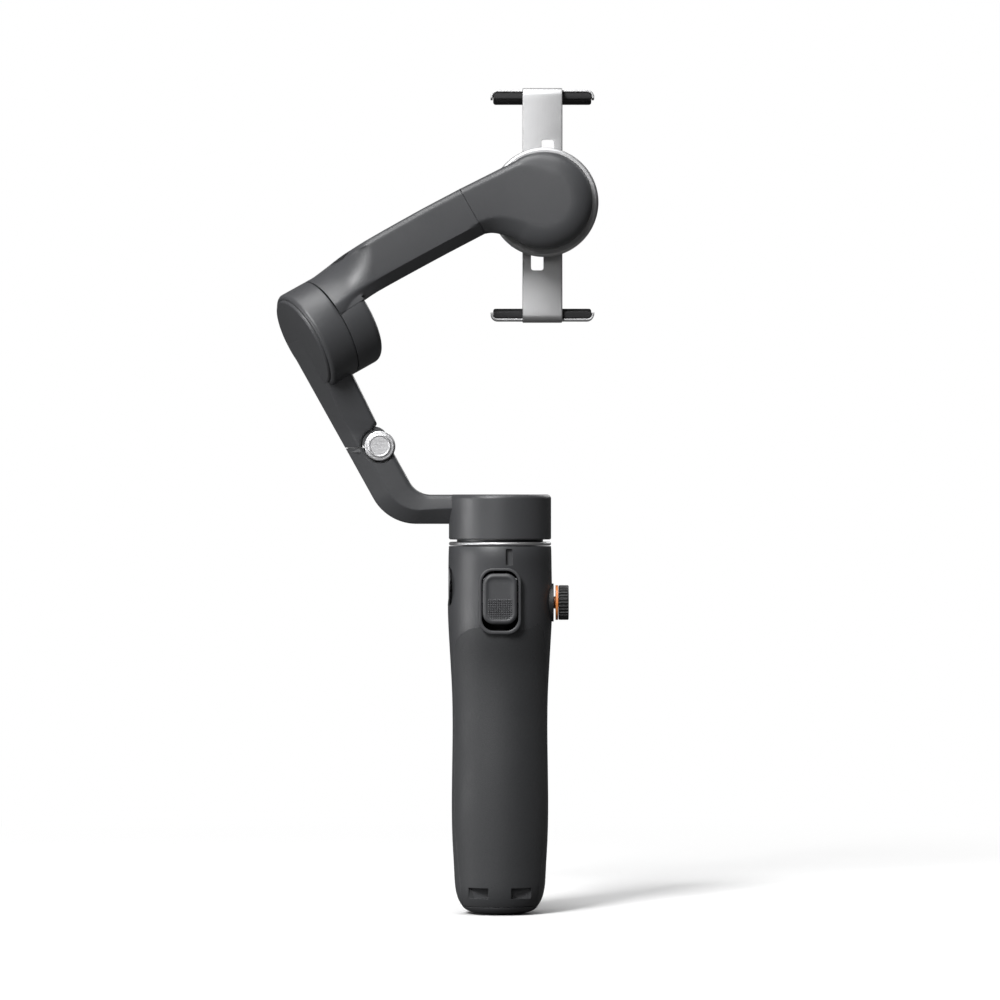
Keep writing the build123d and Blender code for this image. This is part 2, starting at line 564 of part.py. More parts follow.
# ---- controls -----------------------------------------------------------------------------
def controls():
    frame_outer = front_pad(FRAME_HALF_WIDTH - 0.02, FRAME_Z, (-19.7, -16.2), 5.0)
    low, high = FRAME_Z
    frame_inner = front_pad(FRAME_HALF_WIDTH - 1.15, (low + 1.3, high - 1.0), (-30, -10), 4.2)
    pivot = along_x(*TRIGGER_PIVOT_YZ)
    lugs = block((6.45, 7.0), (-16.4, -14.0), (119.0, 121.6))
    lugs += block((-7.0, -6.45), (-16.4, -14.0), (119.0, 121.6))
    save(frame_outer - frame_inner + lugs - pivot * rod(0.8, -9, 9), "trigger_frame")

    blade = front_pad(TRIGGER_HALF_WIDTH - 0.1, TRIGGER_Z, (-21.4, -13.9), 4.0)
    front_edges = blade.edges().filter_by(lambda e: abs(e.center().Y + 21.4) < 0.01)
    blade = fillet(front_edges, 1.4)
    blade = blade - pivot * rod(0.85, -9, 9)
    save(blade, "trigger")
    save(pivot * rod(0.8, -6.95, 6.95), "trigger_pin")

    wheel = along_x(0, WHEEL_Z)
    save(wheel * (pipe(2.3, 6.85, 15.0, 19.3)), "wheel_mount")
    hub = rod(2.2, 14.0, 20.0) + rod(WHEEL_RADIUS, 20.0, 20.9) + rod(1.6, 20.9, 24.0)
    save(wheel * hub, "wheel_hub")
    knob = pipe(1.64, WHEEL_RADIUS, *WHEEL_X)
    knob = fillet(knob.edges().filter_by(GeomType.CIRCLE).sort_by(SortBy.RADIUS)[-2:], 0.6)
    notch = Pos(WHEEL_RADIUS + 0.1, 0, WHEEL_X[0] - 1) * extrude(Rectangle(0.7, 0.6), 6)
    for index in range(24):
        knob -= Rot(0, 0, index * 15) * notch
    save(wheel * (knob + rod(1.6, 24.1, WHEEL_X[1]) + pipe(1.0, 3.0, 24.2, WHEEL_X[1])), "side_wheel")

    power = along_x(*POWER_YZ)
    button = rod(POWER_RADIUS, -18.5, -17.9)
    button = fillet(button.edges().filter_by(GeomType.CIRCLE).sort_by(Axis.Z)[0], 0.3)
    save(power * (button + rod(2.0, -18.0, -13.0)), "power_button")

    record = along_y(0, RECORD_Z) * rod(4.6, 16.6, 20.2)
    record = fillet(record.edges().filter_by(GeomType.CIRCLE).sort_by(Axis.Y)[-1], 0.5)
    save(record, "record_button")
    mode = front_pad(3.45, (MODE_Z - 1.95, MODE_Z + 1.95), (16.4, 19.9), 1.85)
    save(mode, "mode_button")

    pivot = Pos(0, STICK_PIVOT_Y, STICK_Z)
    yoke = Rot(90, 0, 0) * pipe(2.4, 3.3, -0.9, 0.9)
    save(pivot * yoke, "joystick_yoke")
    stem = Rot(-90, 0, 0) * (rod(1.5, -1.0, 6.4) + rod(5.0, 6.3, 8.1))
    save(pivot * stem, "joystick_cap")


os.makedirs("parts", exist_ok=True)
handle()
handle_insides()
telescopic_rod()
head_base()
pan_motor()
lower_arm()
arm_link()
upper_arm()
roll_rotor()
clamp_body()
clamp_arm("upper_clamp_arm", "upper_jaw_pad", UPPER_STRAP_Y, False)
clamp_arm("lower_clamp_arm", "lower_jaw_pad", LOWER_STRAP_Y, True)
controls()
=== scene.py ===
"""Looks of a handheld phone gimbal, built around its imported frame.

Shapes are worked out in millimetres and put into meshes in metres. Every new piece is a closed
surface: a profile turned about an axis, a section carried along a line, or a plate with rounded rims.
"""
import json
import math

import bpy
import numpy as np
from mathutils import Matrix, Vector


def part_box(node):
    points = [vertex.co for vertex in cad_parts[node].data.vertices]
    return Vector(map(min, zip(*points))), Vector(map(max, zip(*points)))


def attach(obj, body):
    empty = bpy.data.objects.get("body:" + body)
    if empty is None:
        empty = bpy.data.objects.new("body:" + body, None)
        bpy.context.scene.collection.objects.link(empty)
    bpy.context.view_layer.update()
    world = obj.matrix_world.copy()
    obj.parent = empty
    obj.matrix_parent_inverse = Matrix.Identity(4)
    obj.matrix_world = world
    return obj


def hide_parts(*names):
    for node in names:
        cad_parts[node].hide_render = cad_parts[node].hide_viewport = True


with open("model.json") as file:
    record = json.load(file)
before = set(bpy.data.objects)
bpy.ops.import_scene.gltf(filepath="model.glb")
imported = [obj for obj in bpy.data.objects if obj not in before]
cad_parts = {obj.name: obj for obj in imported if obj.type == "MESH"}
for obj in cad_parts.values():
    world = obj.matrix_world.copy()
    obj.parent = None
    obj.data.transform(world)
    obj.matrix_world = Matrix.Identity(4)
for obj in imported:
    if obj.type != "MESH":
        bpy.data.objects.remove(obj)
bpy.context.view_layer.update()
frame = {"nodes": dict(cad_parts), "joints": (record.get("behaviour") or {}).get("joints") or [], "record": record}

MM = 0.001
NODES = frame["nodes"]
SLOT_OF = {part["node"]: part["material_slot"] for part in frame["record"]["subparts"]}
JOINT = {joint["name"]: joint for joint in frame["joints"]}


# ---- places read from the frame -----------------------------------------------------------
def box_mm(node):
    low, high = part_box(node)
    return np.array(low) / MM, np.array(high) / MM


def joint_point(name):
    return np.array(JOINT[name]["pos_m"]) / MM


ROLL_POINT = joint_point("roll")
ELBOW_POINT = joint_point("tilt")
TILT_AXIS = np.array(JOINT["tilt"]["axis"])
HINGE_POINT = joint_point("fold")
WHEEL_Z = joint_point("wheel_turn")[2]
STICK_POINT = joint_point("stick_tilt")
CLAMP_POINT = joint_point("clamp_gear_turn")


def unit(vector):
    vector = np.asarray(vector, float)
    return vector / np.linalg.norm(vector)


def place(origin, x_dir, y_dir, z_dir):
    """A function that carries local points (..., 3) into the row frame."""
    axes = np.array([unit(x_dir), unit(y_dir), unit(z_dir)])
    origin = np.asarray(origin, float)
    return lambda points: np.asarray(points, float) @ axes + origin


UPRIGHT = place((0, 0, 0), (1, 0, 0), (0, 1, 0), (0, 0, 1))
# local z runs towards +Y, local y runs up, local x runs to the left as seen from behind
ROLL_PLACE = place((ROLL_POINT[0], 0, ROLL_POINT[2]), (-1, 0, 0), (0, 0, 1), (0, 1, 0))
HINGE_PLACE = place((HINGE_POINT[0], 0, HINGE_POINT[2]), (-1, 0, 0), (0, 0, 1), (0, 1, 0))
WHEEL_PLACE = place((0, 0, WHEEL_Z), (0, 1, 0), (0, 0, 1), (1, 0, 0))
# at the elbow: x up along the link, y towards the front, z along the tilt axis
LINK_UP = unit((-TILT_AXIS[2], 0, TILT_AXIS[0]))
ELBOW_PLACE = place(ELBOW_POINT, LINK_UP, np.cross(TILT_AXIS, LINK_UP), TILT_AXIS)


# ---- mesh making --------------------------------------------------------------------------
def mesh_object(name, points, faces, smooth_angle=35.0):
    """A mesh from points in millimetres, smooth-shaded except across edges sharper than the angle."""
    mesh = bpy.data.meshes.new(name)
    mesh.from_pydata((np.asarray(points) * MM).tolist(), [], faces)
    mesh.validate()
    mesh.update()
    piece = bpy.data.objects.new(name, mesh)
    bpy.context.scene.collection.objects.link(piece)
    mesh.polygons.foreach_set("use_smooth", np.ones(len(mesh.polygons), bool))
    mesh.set_sharp_from_angle(angle=math.radians(smooth_angle))
    return piece


def tube_faces(rows, around, start=0, flip=False):
    """Quads of a grid of rows that closes on itself around, and a cap at each end."""
    row = np.arange(rows - 1)[:, None] * around
    column = np.arange(around)[None, :]
    beside = (column + 1) % around
    quads = np.stack([row + column, row + beside, row + around + beside, row + around + column], -1)
    quads = quads.reshape(-1, 4) + start
    first = [int(i) for i in np.arange(around)[::-1] + start]
    last = [int(i) for i in np.arange(around) + (rows - 1) * around + start]
    faces = quads.tolist() + [first, last]
    if flip:
        faces = [face[::-1] for face in faces]
    return faces


def signed_volume(points, faces):
    """Six times the volume that the faces enclose; negative when they point inwards."""
    total = 0.0
    centre = points.mean(0)
    for face in faces:
        corner = points[face[0]] - centre
        fan = points[face[1:]] - centre
        total += float(np.einsum("ij,ij->i", np.cross(fan[:-1], fan[1:]),
                                 np.tile(corner, (len(fan) - 1, 1))).sum())
    return total


def loft(rows):
    """Points and outward faces of a closed tube through rows of shape (stations, around, 3)."""
    rows = np.asarray(rows, float)
    stations, around = rows.shape[:2]
    points = rows.reshape(-1, 3)
    faces = tube_faces(stations, around)
    if signed_volume(points, faces) < 0:
        faces = [face[::-1] for face in faces]
    return points, faces


def ring_loft(rows):
    """Points and outward faces of a surface that closes on itself both ways, such as a ring."""
    rows = np.asarray(rows, float)
    stations, around = rows.shape[:2]
    points = rows.reshape(-1, 3)
    row = np.arange(stations)[:, None] * around
    after = ((np.arange(stations) + 1) % stations)[:, None] * around
    column = np.arange(around)[None, :]
    beside = (column + 1) % around
    quads = np.stack([row + column, row + beside, after + beside, after + column], -1).reshape(-1, 4)
    faces = quads.tolist()
    if signed_volume(points, faces) < 0:
        faces = [face[::-1] for face in faces]
    return points, faces


def joined(*parts):
    """Several (points, faces) shells as one."""
    points, faces, start = [], [], 0
    for part_points, part_faces in parts:
        points.append(part_points)
        faces += [[i + start for i in face] for face in part_faces]
        start += len(part_points)
    return np.vstack(points), faces


# ---- profiles -----------------------------------------------------------------------------
def arc(centre, radius, start, end, steps=8):
    """Points along a circle from one angle to another, in degrees."""
    angle = np.radians(np.linspace(start, end, steps + 1))
    return np.stack([centre[0] + radius * np.cos(angle), centre[1] + radius * np.sin(angle)], -1)


def rounded(corners, radii, steps=6):
    """A closed outline through corners, each replaced by an arc that touches both its sides.

    Each corner gives steps + 1 points, so outlines with as many corners can be joined in a loft.
    """
    corners = np.asarray(corners, float)
    before = np.roll(corners, 1, 0) - corners
    after = np.roll(corners, -1, 0) - corners
    before /= np.linalg.norm(before, axis=1)[:, None]
    after /= np.linalg.norm(after, axis=1)[:, None]
    half = np.arccos(np.clip((before * after).sum(1), -1, 1)) / 2
    reach = np.asarray(radii, float) / np.tan(half)
    start = corners + before * reach[:, None]
    end = corners + after * reach[:, None]
    # a rational quadratic between the two touching points is a true circular arc
    t = np.linspace(0, 1, steps + 1)[None, :, None]
    weight = np.sin(half)[:, None, None]
    top = (1 - t) ** 2 * start[:, None] + 2 * t * (1 - t) * weight * corners[:, None] + t ** 2 * end[:, None]
    below = (1 - t) ** 2 + 2 * t * (1 - t) * weight + t ** 2
    return (top / below).reshape(-1, 2)


def rounded_box(width, height, corner, steps=6):
    x, y = width / 2, height / 2
    return rounded([(-x, -y), (x, -y), (x, y), (-x, y)], [corner] * 4, steps)


def inset(outline, distance):
    """Moves a counter-clockwise outline inwards by a distance along its own normals."""
    ahead = np.roll(outline, -1, 0) - np.roll(outline, 1, 0)
    ahead /= np.linalg.norm(ahead, axis=1)[:, None]
    inward = np.stack([-ahead[:, 1], ahead[:, 0]], -1)
    return outline + inward * distance


def at_height(outline, z):
    return np.concatenate([outline, np.full((len(outline), 1), z)], 1)


# ---- shapes -------------------------------------------------------------------------------
def turned(profile, around=128, where=UPRIGHT, ripple=None):
    """A profile of (radius, height) points turned about local z. It closes on itself, or on the axis.

    ripple(angle, radius, height) may add to the radius, for ribs and flutes.
    """
    profile = np.asarray(profile, float)
    angle = np.linspace(0, 2 * math.pi, around, endpoint=False)[None, :]
    radius = np.broadcast_to(profile[:, :1], (len(profile), around)).copy()
    height = np.broadcast_to(profile[:, 1:], radius.shape)
    if ripple is not None:
        radius = radius + ripple(np.broadcast_to(angle, radius.shape), radius, height)
    rows = np.stack([radius * np.cos(angle), radius * np.sin(angle), height], -1)
    open_ends = profile[0, 0] < 0.02 and profile[-1, 0] < 0.02
    points, faces = loft(rows) if open_ends else ring_loft(rows)
    return where(points), faces if open_ends else outward(where(points), faces)


def outward(points, faces):
    if signed_volume(points, faces) < 0:
        return [face[::-1] for face in faces]
    return faces


def plate(outline, low, high, low_rim=0.3, high_rim=0.3, where=UPRIGHT, steps=5):
    """An outline pushed from low to high, with both rims rounded over."""
    turn = np.radians(np.linspace(0, 90, steps + 1))
    rows = [at_height(inset(outline, low_rim * (1 - math.sin(a))), low + low_rim * (1 - math.cos(a)))
            for a in turn]
    rows += [at_height(inset(outline, high_rim * (1 - math.cos(a))), high - high_rim * (1 - math.sin(a)))
             for a in turn]
    points, faces = loft(rows)
    return where(points), outward(where(points), faces)


def bar(stations):
    """Sections carried along a line: each station is (origin, x_dir, y_dir, outline)."""
    rows = []
    for origin, x_dir, y_dir, outline in stations:
        rows.append(np.asarray(origin) + outline[:, :1] * unit(x_dir) + outline[:, 1:] * unit(y_dir))
    points, faces = loft(rows)
    return points, outward(points, faces)


def ease(t):
    """Smooth step from 0 to 1."""
    t = np.clip(t, 0, 1)
    return t * t * (3 - 2 * t)


# ---- putting a piece into the model -------------------------------------------------------
def fit(name, shape, body, material, replaced=(), smooth_angle=35.0):
    piece = mesh_object(name, *shape, smooth_angle=smooth_angle)
    piece.data.materials.append(material)
    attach(piece, body)
    if replaced:
        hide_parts(*replaced)
    return piece


# ---- shader effects used by several materials ---------------------------------------------
def node_group(name, inputs, outputs):
    """A new shader group; inputs are (name, socket type, default), outputs are (name, socket type)."""
    tree = bpy.data.node_groups.new(name, "ShaderNodeTree")
    for label, kind, default in inputs:
        socket = tree.interface.new_socket(label, in_out="INPUT", socket_type=kind)
        socket.default_value = default
    for label, kind in outputs:
        tree.interface.new_socket(label, in_out="OUTPUT", socket_type=kind)
    return tree, tree.nodes.new("NodeGroupInput"), tree.nodes.new("NodeGroupOutput")


def add(tree, kind, settings=None, **values):
    """A node with its properties from settings, and its sockets set or linked from values."""
    node = tree.nodes.new(kind)
    for key, value in (settings or {}).items():
        setattr(node, key, value)
    for key, value in values.items():
        by_number = key[0] == "i" and key[1:].isdigit()
        socket = node.inputs[int(key[1:]) if by_number else key.replace("_", " ")]
        if isinstance(value, bpy.types.NodeSocket):
            tree.links.new(value, socket)
        else:
            socket.default_value = value
    return node


def maths(tree, operation, first, second=0.0, clamp=False):
    return add(tree, "ShaderNodeMath", {"operation": operation, "use_clamp": clamp}, i0=first,
               i1=second).outputs[0]


FLOAT = "NodeSocketFloat"
COLOR = "NodeSocketColor"


def make_moulded_grain():
    """Fine spark-eroded grain: pits of about one grain size over waves three times as large."""
    tree, given, result = node_group(
        "moulded_grain", [("Grain size", FLOAT, 0.0003)], [("Height", FLOAT), ("Tone", FLOAT)])
    where = add(tree, "ShaderNodeTexCoord").outputs["Object"]
    scale = maths(tree, "DIVIDE", 1.0, given.outputs["Grain size"])
    fine = add(tree, "ShaderNodeTexNoise", Vector=where, Scale=scale, Detail=2.0,
               Roughness=0.6).outputs["Fac"]
    wide_scale = maths(tree, "MULTIPLY", scale, 0.33)
    wide = add(tree, "ShaderNodeTexNoise", Vector=where, Scale=wide_scale, Detail=1.0).outputs["Fac"]
    height = maths(tree, "ADD", maths(tree, "MULTIPLY", fine, 0.7), maths(tree, "MULTIPLY", wide, 0.3))
    tree.links.new(height, result.inputs["Height"])
    tree.links.new(fine, result.inputs["Tone"])
    return tree


def make_drawn_lines():
    """Lines of a brushed or drawn metal, stretched by a vector that is small along the lines."""
    tree, given, result = node_group(
        "drawn_lines", [("Stretch", "NodeSocketVector", (1, 1, 0.03)), ("Line size", FLOAT, 0.0002)],
        [("Height", FLOAT)])
    where = add(tree, "ShaderNodeTexCoord").outputs["Object"]
    stretched = add(tree, "ShaderNodeVectorMath", {"operation": "MULTIPLY"}, i0=where,
                    i1=given.outputs["Stretch"])
    scale = maths(tree, "DIVIDE", 1.0, given.outputs["Line size"])
    lines = add(tree, "ShaderNodeTexNoise", Vector=stretched.outputs[0], Scale=scale, Detail=3.0,
                Roughness=0.65)
    tree.links.new(lines.outputs["Fac"], result.inputs["Height"])
    return tree


def make_handled():
    """Faint broad marks left by hands: slow noise, sharpened to soft-edged patches."""
    tree, given, result = node_group("handled", [("Patch size", FLOAT, 0.02)], [("Mask", FLOAT)])
    where = add(tree, "ShaderNodeTexCoord").outputs["Object"]
    scale = maths(tree, "DIVIDE", 1.0, given.outputs["Patch size"])
    slow = add(tree, "ShaderNodeTexNoise", Vector=where, Scale=scale, Detail=4.0, Roughness=0.55,
               Distortion=0.4)
    patch = add(tree, "ShaderNodeMapRange", {"interpolation_type": "SMOOTHSTEP"}, i0=slow.outputs["Fac"],
                i1=0.4, i2=0.66)
    tree.links.new(patch.outputs[0], result.inputs["Mask"])
    return tree


def make_edge_wear_and_highlight():
    """A mask of the sharp edges: where the rounded normal leaves the true one, broken up by noise. It lightens the
    colour there: partly wear, partly a painted highlight along the edges.
    """
    tree, given, result = node_group(
        "edge_wear_and_highlight", [("Radius", FLOAT, 0.0004), ("Breakup", FLOAT, 0.3)], [("Mask", FLOAT)])
    round_normal = add(tree, "ShaderNodeBevel", {"samples": 4}, Radius=given.outputs["Radius"]).outputs[0]
    true_normal = add(tree, "ShaderNodeNewGeometry").outputs["Normal"]
    dot = add(tree, "ShaderNodeVectorMath", {"operation": "DOT_PRODUCT"}, i0=round_normal, i1=true_normal)
    bend = add(tree, "ShaderNodeMapRange", i0=dot.outputs["Value"], i1=0.995, i2=0.8, i3=0.0,
               i4=1.0).outputs[0]
    where = add(tree, "ShaderNodeTexCoord").outputs["Object"]
    noise = add(tree, "ShaderNodeTexNoise", Vector=where, Scale=900.0, Detail=3.0).outputs["Fac"]
    missing = maths(tree, "MULTIPLY", noise, given.outputs["Breakup"])
    tree.links.new(maths(tree, "SUBTRACT", bend, missing, clamp=True), result.inputs["Mask"])
    return tree


def make_toned():
    """A colour made a little lighter or darker by a tone, and mixed to a lighter edge colour by a mask: partly
    wear, partly a painted edge highlight.
    """
    tree, given, result = node_group(
        "toned", [("Color", COLOR, (0.5, 0.5, 0.5, 1)), ("Worn color", COLOR, (0.6, 0.6, 0.6, 1)),
                  ("Tone", FLOAT, 0.5), ("Amount", FLOAT, 0.1), ("Wear", FLOAT, 0.0),
                  ("Wear amount", FLOAT, 0.3)],
        [("Color", COLOR)])
    centred = maths(tree, "SUBTRACT", given.outputs["Tone"], 0.5)
    gain = maths(tree, "ADD", maths(tree, "MULTIPLY", centred, given.outputs["Amount"]), 1.0)
    shaded = add(tree, "ShaderNodeVectorMath", {"operation": "SCALE"}, i0=given.outputs["Color"], Scale=gain)
    share = maths(tree, "MULTIPLY", given.outputs["Wear"], given.outputs["Wear amount"])
    mixed = add(tree, "ShaderNodeMix", {"data_type": "RGBA"}, i0=share, i6=shaded.outputs[0],
                i7=given.outputs["Worn color"])
    tree.links.new(mixed.outputs[2], result.inputs["Color"])
    return tree


GRAIN = make_moulded_grain()
LINES = make_drawn_lines()
HANDLED = make_handled()
EDGE_WEAR_AND_HIGHLIGHT = make_edge_wear_and_highlight()
TONED = make_toned()


def grouped(tree, group, **values):
    node = tree.nodes.new("ShaderNodeGroup")
    node.node_tree = group
    for key, value in values.items():
        socket = node.inputs[key.replace("_", " ")]
        if isinstance(value, bpy.types.NodeSocket):
            tree.links.new(value, socket)
        else:
            socket.default_value = value
    return node


def new_material(name):
    material = bpy.data.materials.new(name)
    material.use_nodes = True
    tree = material.node_tree
    tree.nodes.clear()
    shader = tree.nodes.new("ShaderNodeBsdfPrincipled")
    out = tree.nodes.new("ShaderNodeOutputMaterial")
    tree.links.new(shader.outputs[0], out.inputs[0])
    return material, tree, shader


def rgba(color):
    return (*color, 1.0)


def plastic(name, color, worn_and_lit, rough, grain=0.0003, depth=0.000012, tone=0.12, wear_and_highlight=0.35, marks=0.05,
            specular=0.5, coat=0.0, sheen=0.0, edge_radius=0.0004):
    """Moulded or painted plastic: grain in the bump and tone, marks in the roughness, lighter edges that are
    partly wear and partly a painted highlight.
    """
    material, tree, shader = new_material(name)
    grains = grouped(tree, GRAIN, Grain_size=grain)
    edges = grouped(tree, EDGE_WEAR_AND_HIGHLIGHT, Radius=edge_radius)
    marked = grouped(tree, HANDLED, Patch_size=0.022)
    # the edge mask mixes in the lighter edge colour: partly wear, partly a painted highlight
    toned = grouped(tree, TONED, Color=rgba(color), Worn_color=rgba(worn_and_lit), Tone=grains.outputs["Tone"],
                    Amount=tone,
                    Wear=edges.outputs["Mask"], Wear_amount=wear_and_highlight)
    tree.links.new(toned.outputs[0], shader.inputs["Base Color"])
    spread = add(tree, "ShaderNodeMapRange", i0=marked.outputs[0], i1=0.0, i2=1.0, i3=rough,
                 i4=rough - marks)
    tree.links.new(spread.outputs[0], shader.inputs["Roughness"])
    soft_edge = add(tree, "ShaderNodeBevel", {"samples": 4}, Radius=edge_radius * 0.6).outputs[0]
    bump = add(tree, "ShaderNodeBump", Strength=0.5, Distance=depth * 10, Height=grains.outputs["Height"],
               Normal=soft_edge)
    tree.links.new(bump.outputs[0], shader.inputs["Normal"])
    shader.inputs["Specular IOR Level"].default_value = specular
    shader.inputs["Coat Weight"].default_value = coat
    shader.inputs["Coat Roughness"].default_value = 0.12
    shader.inputs["Sheen Weight"].default_value = sheen
    shader.inputs["Sheen Roughness"].default_value = 0.5
    return material


def metal(name, color, rough, stretch=None, line=0.0002, depth=0.00001, tone=0.08, marks=0.06, metallic=1.0,
          wear_and_highlight=0.25, worn_and_lit=None):
    """Metal: blasted where stretch is None, or brushed along the axes that stretch makes small."""
    material, tree, shader = new_material(name)
    if stretch is None:
        source = grouped(tree, GRAIN, Grain_size=line)
    else:
        source = grouped(tree, LINES, Stretch=stretch, Line_size=line)
    height = source.outputs["Height"]
    edges = grouped(tree, EDGE_WEAR_AND_HIGHLIGHT, Radius=0.0003)
    marked = grouped(tree, HANDLED, Patch_size=0.015)
    # the edge mask mixes in a lighter colour: partly wear, partly a painted highlight
    toned = grouped(tree, TONED, Color=rgba(color),
                    Worn_color=rgba(worn_and_lit or [min(1, c * 1.25) for c in color]),
                    Tone=height, Amount=tone, Wear=edges.outputs["Mask"], Wear_amount=wear_and_highlight)
    tree.links.new(toned.outputs[0], shader.inputs["Base Color"])
    spread = add(tree, "ShaderNodeMapRange", i0=marked.outputs[0], i1=0.0, i2=1.0, i3=rough,
                 i4=rough + marks)
    tree.links.new(spread.outputs[0], shader.inputs["Roughness"])
    soft_edge = add(tree, "ShaderNodeBevel", {"samples": 4}, Radius=0.0002).outputs[0]
    bump = add(tree, "ShaderNodeBump", Strength=0.5, Distance=depth * 10, Height=height, Normal=soft_edge)
    tree.links.new(bump.outputs[0], shader.inputs["Normal"])
    shader.inputs["Metallic"].default_value = metallic
    return material


# the second colour of each plastic is its lighter edge colour: partly wear, partly a painted highlight on the
# edges
MATERIAL = {
    "matte_dark": plastic("matt_shell_plastic", (0.043, 0.044, 0.047), (0.075, 0.076, 0.08), 0.48),
    "arm_paint": plastic("satin_arm_paint", (0.05, 0.051, 0.054), (0.1, 0.102, 0.106), 0.42, grain=0.0002),
    "grip_soft": plastic("soft_touch_grip", (0.03, 0.031, 0.033), (0.06, 0.061, 0.063), 0.6, grain=0.0004,
                         depth=0.00002, tone=0.2, wear_and_highlight=0.2, marks=0.08, specular=0.4, sheen=0.05),
    "black_plastic": plastic("black_moulded_plastic", (0.009, 0.009, 0.0095), (0.03, 0.03, 0.031), 0.5),
    "gloss_black": plastic("polished_black_panel", (0.008, 0.008, 0.009), (0.03, 0.03, 0.03), 0.16,
                           depth=0.000002,
                           tone=0.05, marks=-0.1, coat=0.4),
    "pad_rubber": plastic("pad_rubber", (0.02, 0.02, 0.021), (0.035, 0.035, 0.036), 0.7, grain=0.0005,
                          depth=0.00003, tone=0.25, specular=0.3),
    "orange_accent": plastic("orange_ring_paint", (0.62, 0.2, 0.05), (0.8, 0.4, 0.18), 0.35, tone=0.1,
                             wear_and_highlight=0.2),
    "red_accent": plastic("red_button_plastic", (0.35, 0.02, 0.018), (0.5, 0.08, 0.06), 0.4),
    "battery_wrap": plastic("battery_wrap", (0.02, 0.06, 0.16), (0.1, 0.15, 0.25), 0.3, coat=0.3,
                            depth=0.000004),
    "board_green": plastic("circuit_board", (0.01, 0.07, 0.03), (0.2, 0.18, 0.08), 0.35, tone=0.5, coat=0.3),
    "silver_metal": metal("satin_silver", (0.6, 0.6, 0.61), 0.4, (0.03, 0.03, 1.0)),
    "clamp_metal": metal("brushed_clamp_metal", (0.47, 0.47, 0.475), 0.5, (1.0, 1.0, 0.03), depth=0.000008),
    "steel": metal("bright_steel", (0.55, 0.55, 0.56), 0.25, (0.03, 0.03, 1.0), depth=0.000006),
    "brass": metal("turned_brass", (0.72, 0.5, 0.2), 0.28, (0.03, 0.03, 1.0)),
    "copper_core": metal("wound_copper", (0.7, 0.3, 0.14), 0.35, (1.0, 1.0, 0.05), line=0.0004,
                         depth=0.00004, tone=0.5),
    "magnet": metal("nickel_plate", (0.6, 0.58, 0.54), 0.2),
}
for node_name, node in NODES.items():
    node.data.materials.clear()
    node.data.materials.append(MATERIAL[SLOT_OF[node_name]])


# ---- upper arm and roll motor cover: one surface over a plan, cut at a cross seam ---------
# plan coordinates seen from the front: t runs up along the arm from the roll axis, n across it
ALONG = np.array([math.cos(math.radians(30)), math.sin(math.radians(30))])
ACROSS = np.array([-ALONG[1], ALONG[0]])
DOME_RADIUS = 17.4
DRUM_RADIUS = 18.6
FACE_SLOPE = 0.168
SEAM_T = -24.6
SEAM_WIDTH = 0.25
ARM_ROWS = 110
elbow_in_plan = (ELBOW_POINT - ROLL_POINT)[[0, 2]]
ELBOW_T, ELBOW_N = float(elbow_in_plan @ ALONG), float(elbow_in_plan @ ACROSS)
AXIS_ALONG = math.hypot(TILT_AXIS[0], TILT_AXIS[2])
AXIS_DEPTH = TILT_AXIS[1]


def seam_on_drum(n, gap):
    """How far along the arm the rotor's rim lies, for points at height n on the near side."""
    reach = np.sqrt(np.maximum(DRUM_RADIUS ** 2 - (n - ELBOW_N) ** 2, 0))
    return ELBOW_T + gap * AXIS_ALONG + AXIS_DEPTH * reach


def drum_depth(t, n):
    """Y of the rotor's near side under plan point (t, n)."""
    reach = np.sqrt(np.maximum(DRUM_RADIUS ** 2 - (n - ELBOW_N) ** 2, 0))
    return ELBOW_POINT[1] + (AXIS_DEPTH * (t - ELBOW_T) - reach) / AXIS_ALONG


def arm_edges(arm_rows=ARM_ROWS, dome_rows=110):
    """Matching points (t, n) of the arm's lower and upper edge, from the elbow round to the dome's end."""
    root = [np.array([[seam_on_drum(np.array(ELBOW_N + up), 0.3), ELBOW_N + up]]) for up in (1.6, 18.35)]
    swing = np.radians(np.linspace(205, 359.6, 60))
    dome_low = DOME_RADIUS * np.stack([np.cos(swing), np.sin(swing)], -1)
    swing = np.radians(np.linspace(96, 0.4, 60))
    dome_top = DOME_RADIUS * np.stack([np.cos(swing), np.sin(swing)], -1)
    low_arm = np.vstack([root[0], [(-70, 1.0), (-45, 0.7), (SEAM_T, 0.1)]])
    top_arm = np.vstack([root[1], [(-70, 18.7), (-45, 18.9), (SEAM_T, 18.45)]])
    low_dome = np.vstack([[(SEAM_T, 0.1), (-22.0, -1.0), (-18.9, -3.6)], dome_low])
    top_dome = np.vstack([[(SEAM_T, 18.45), (-8, 17.6)], dome_top])
    return [np.vstack([spaced(arm, arm_rows), spaced(dome, dome_rows)[1:]])
            for arm, dome in ((low_arm, low_dome), (top_arm, top_dome))]


def spaced(line, count):
    """Points evenly spaced along a smooth curve through a line's points (Catmull-Rom)."""
    line = np.asarray(line, float)
    padded = np.vstack([2 * line[0] - line[1], line, 2 * line[-1] - line[-2]])
    u = np.linspace(0, 1, 9)[:-1, None]
    pieces = []
    for a, b, c, d in zip(padded, padded[1:], padded[2:], padded[3:]):
        pieces.append(0.5 * (2 * b + (c - a) * u + (2 * a - 5 * b + 4 * c - d) * u ** 2
                             + (3 * b - a - 3 * c + d) * u ** 3))
    dense = np.vstack(pieces + [line[-1:]])
    run = np.concatenate([[0], np.cumsum(np.linalg.norm(np.diff(dense, axis=0), axis=1))])
    at = np.linspace(0, run[-1], count)
    return np.stack([np.interp(at, run, dense[:, i]) for i in range(dense.shape[1])], -1)


LOW_EDGE, TOP_EDGE = arm_edges()


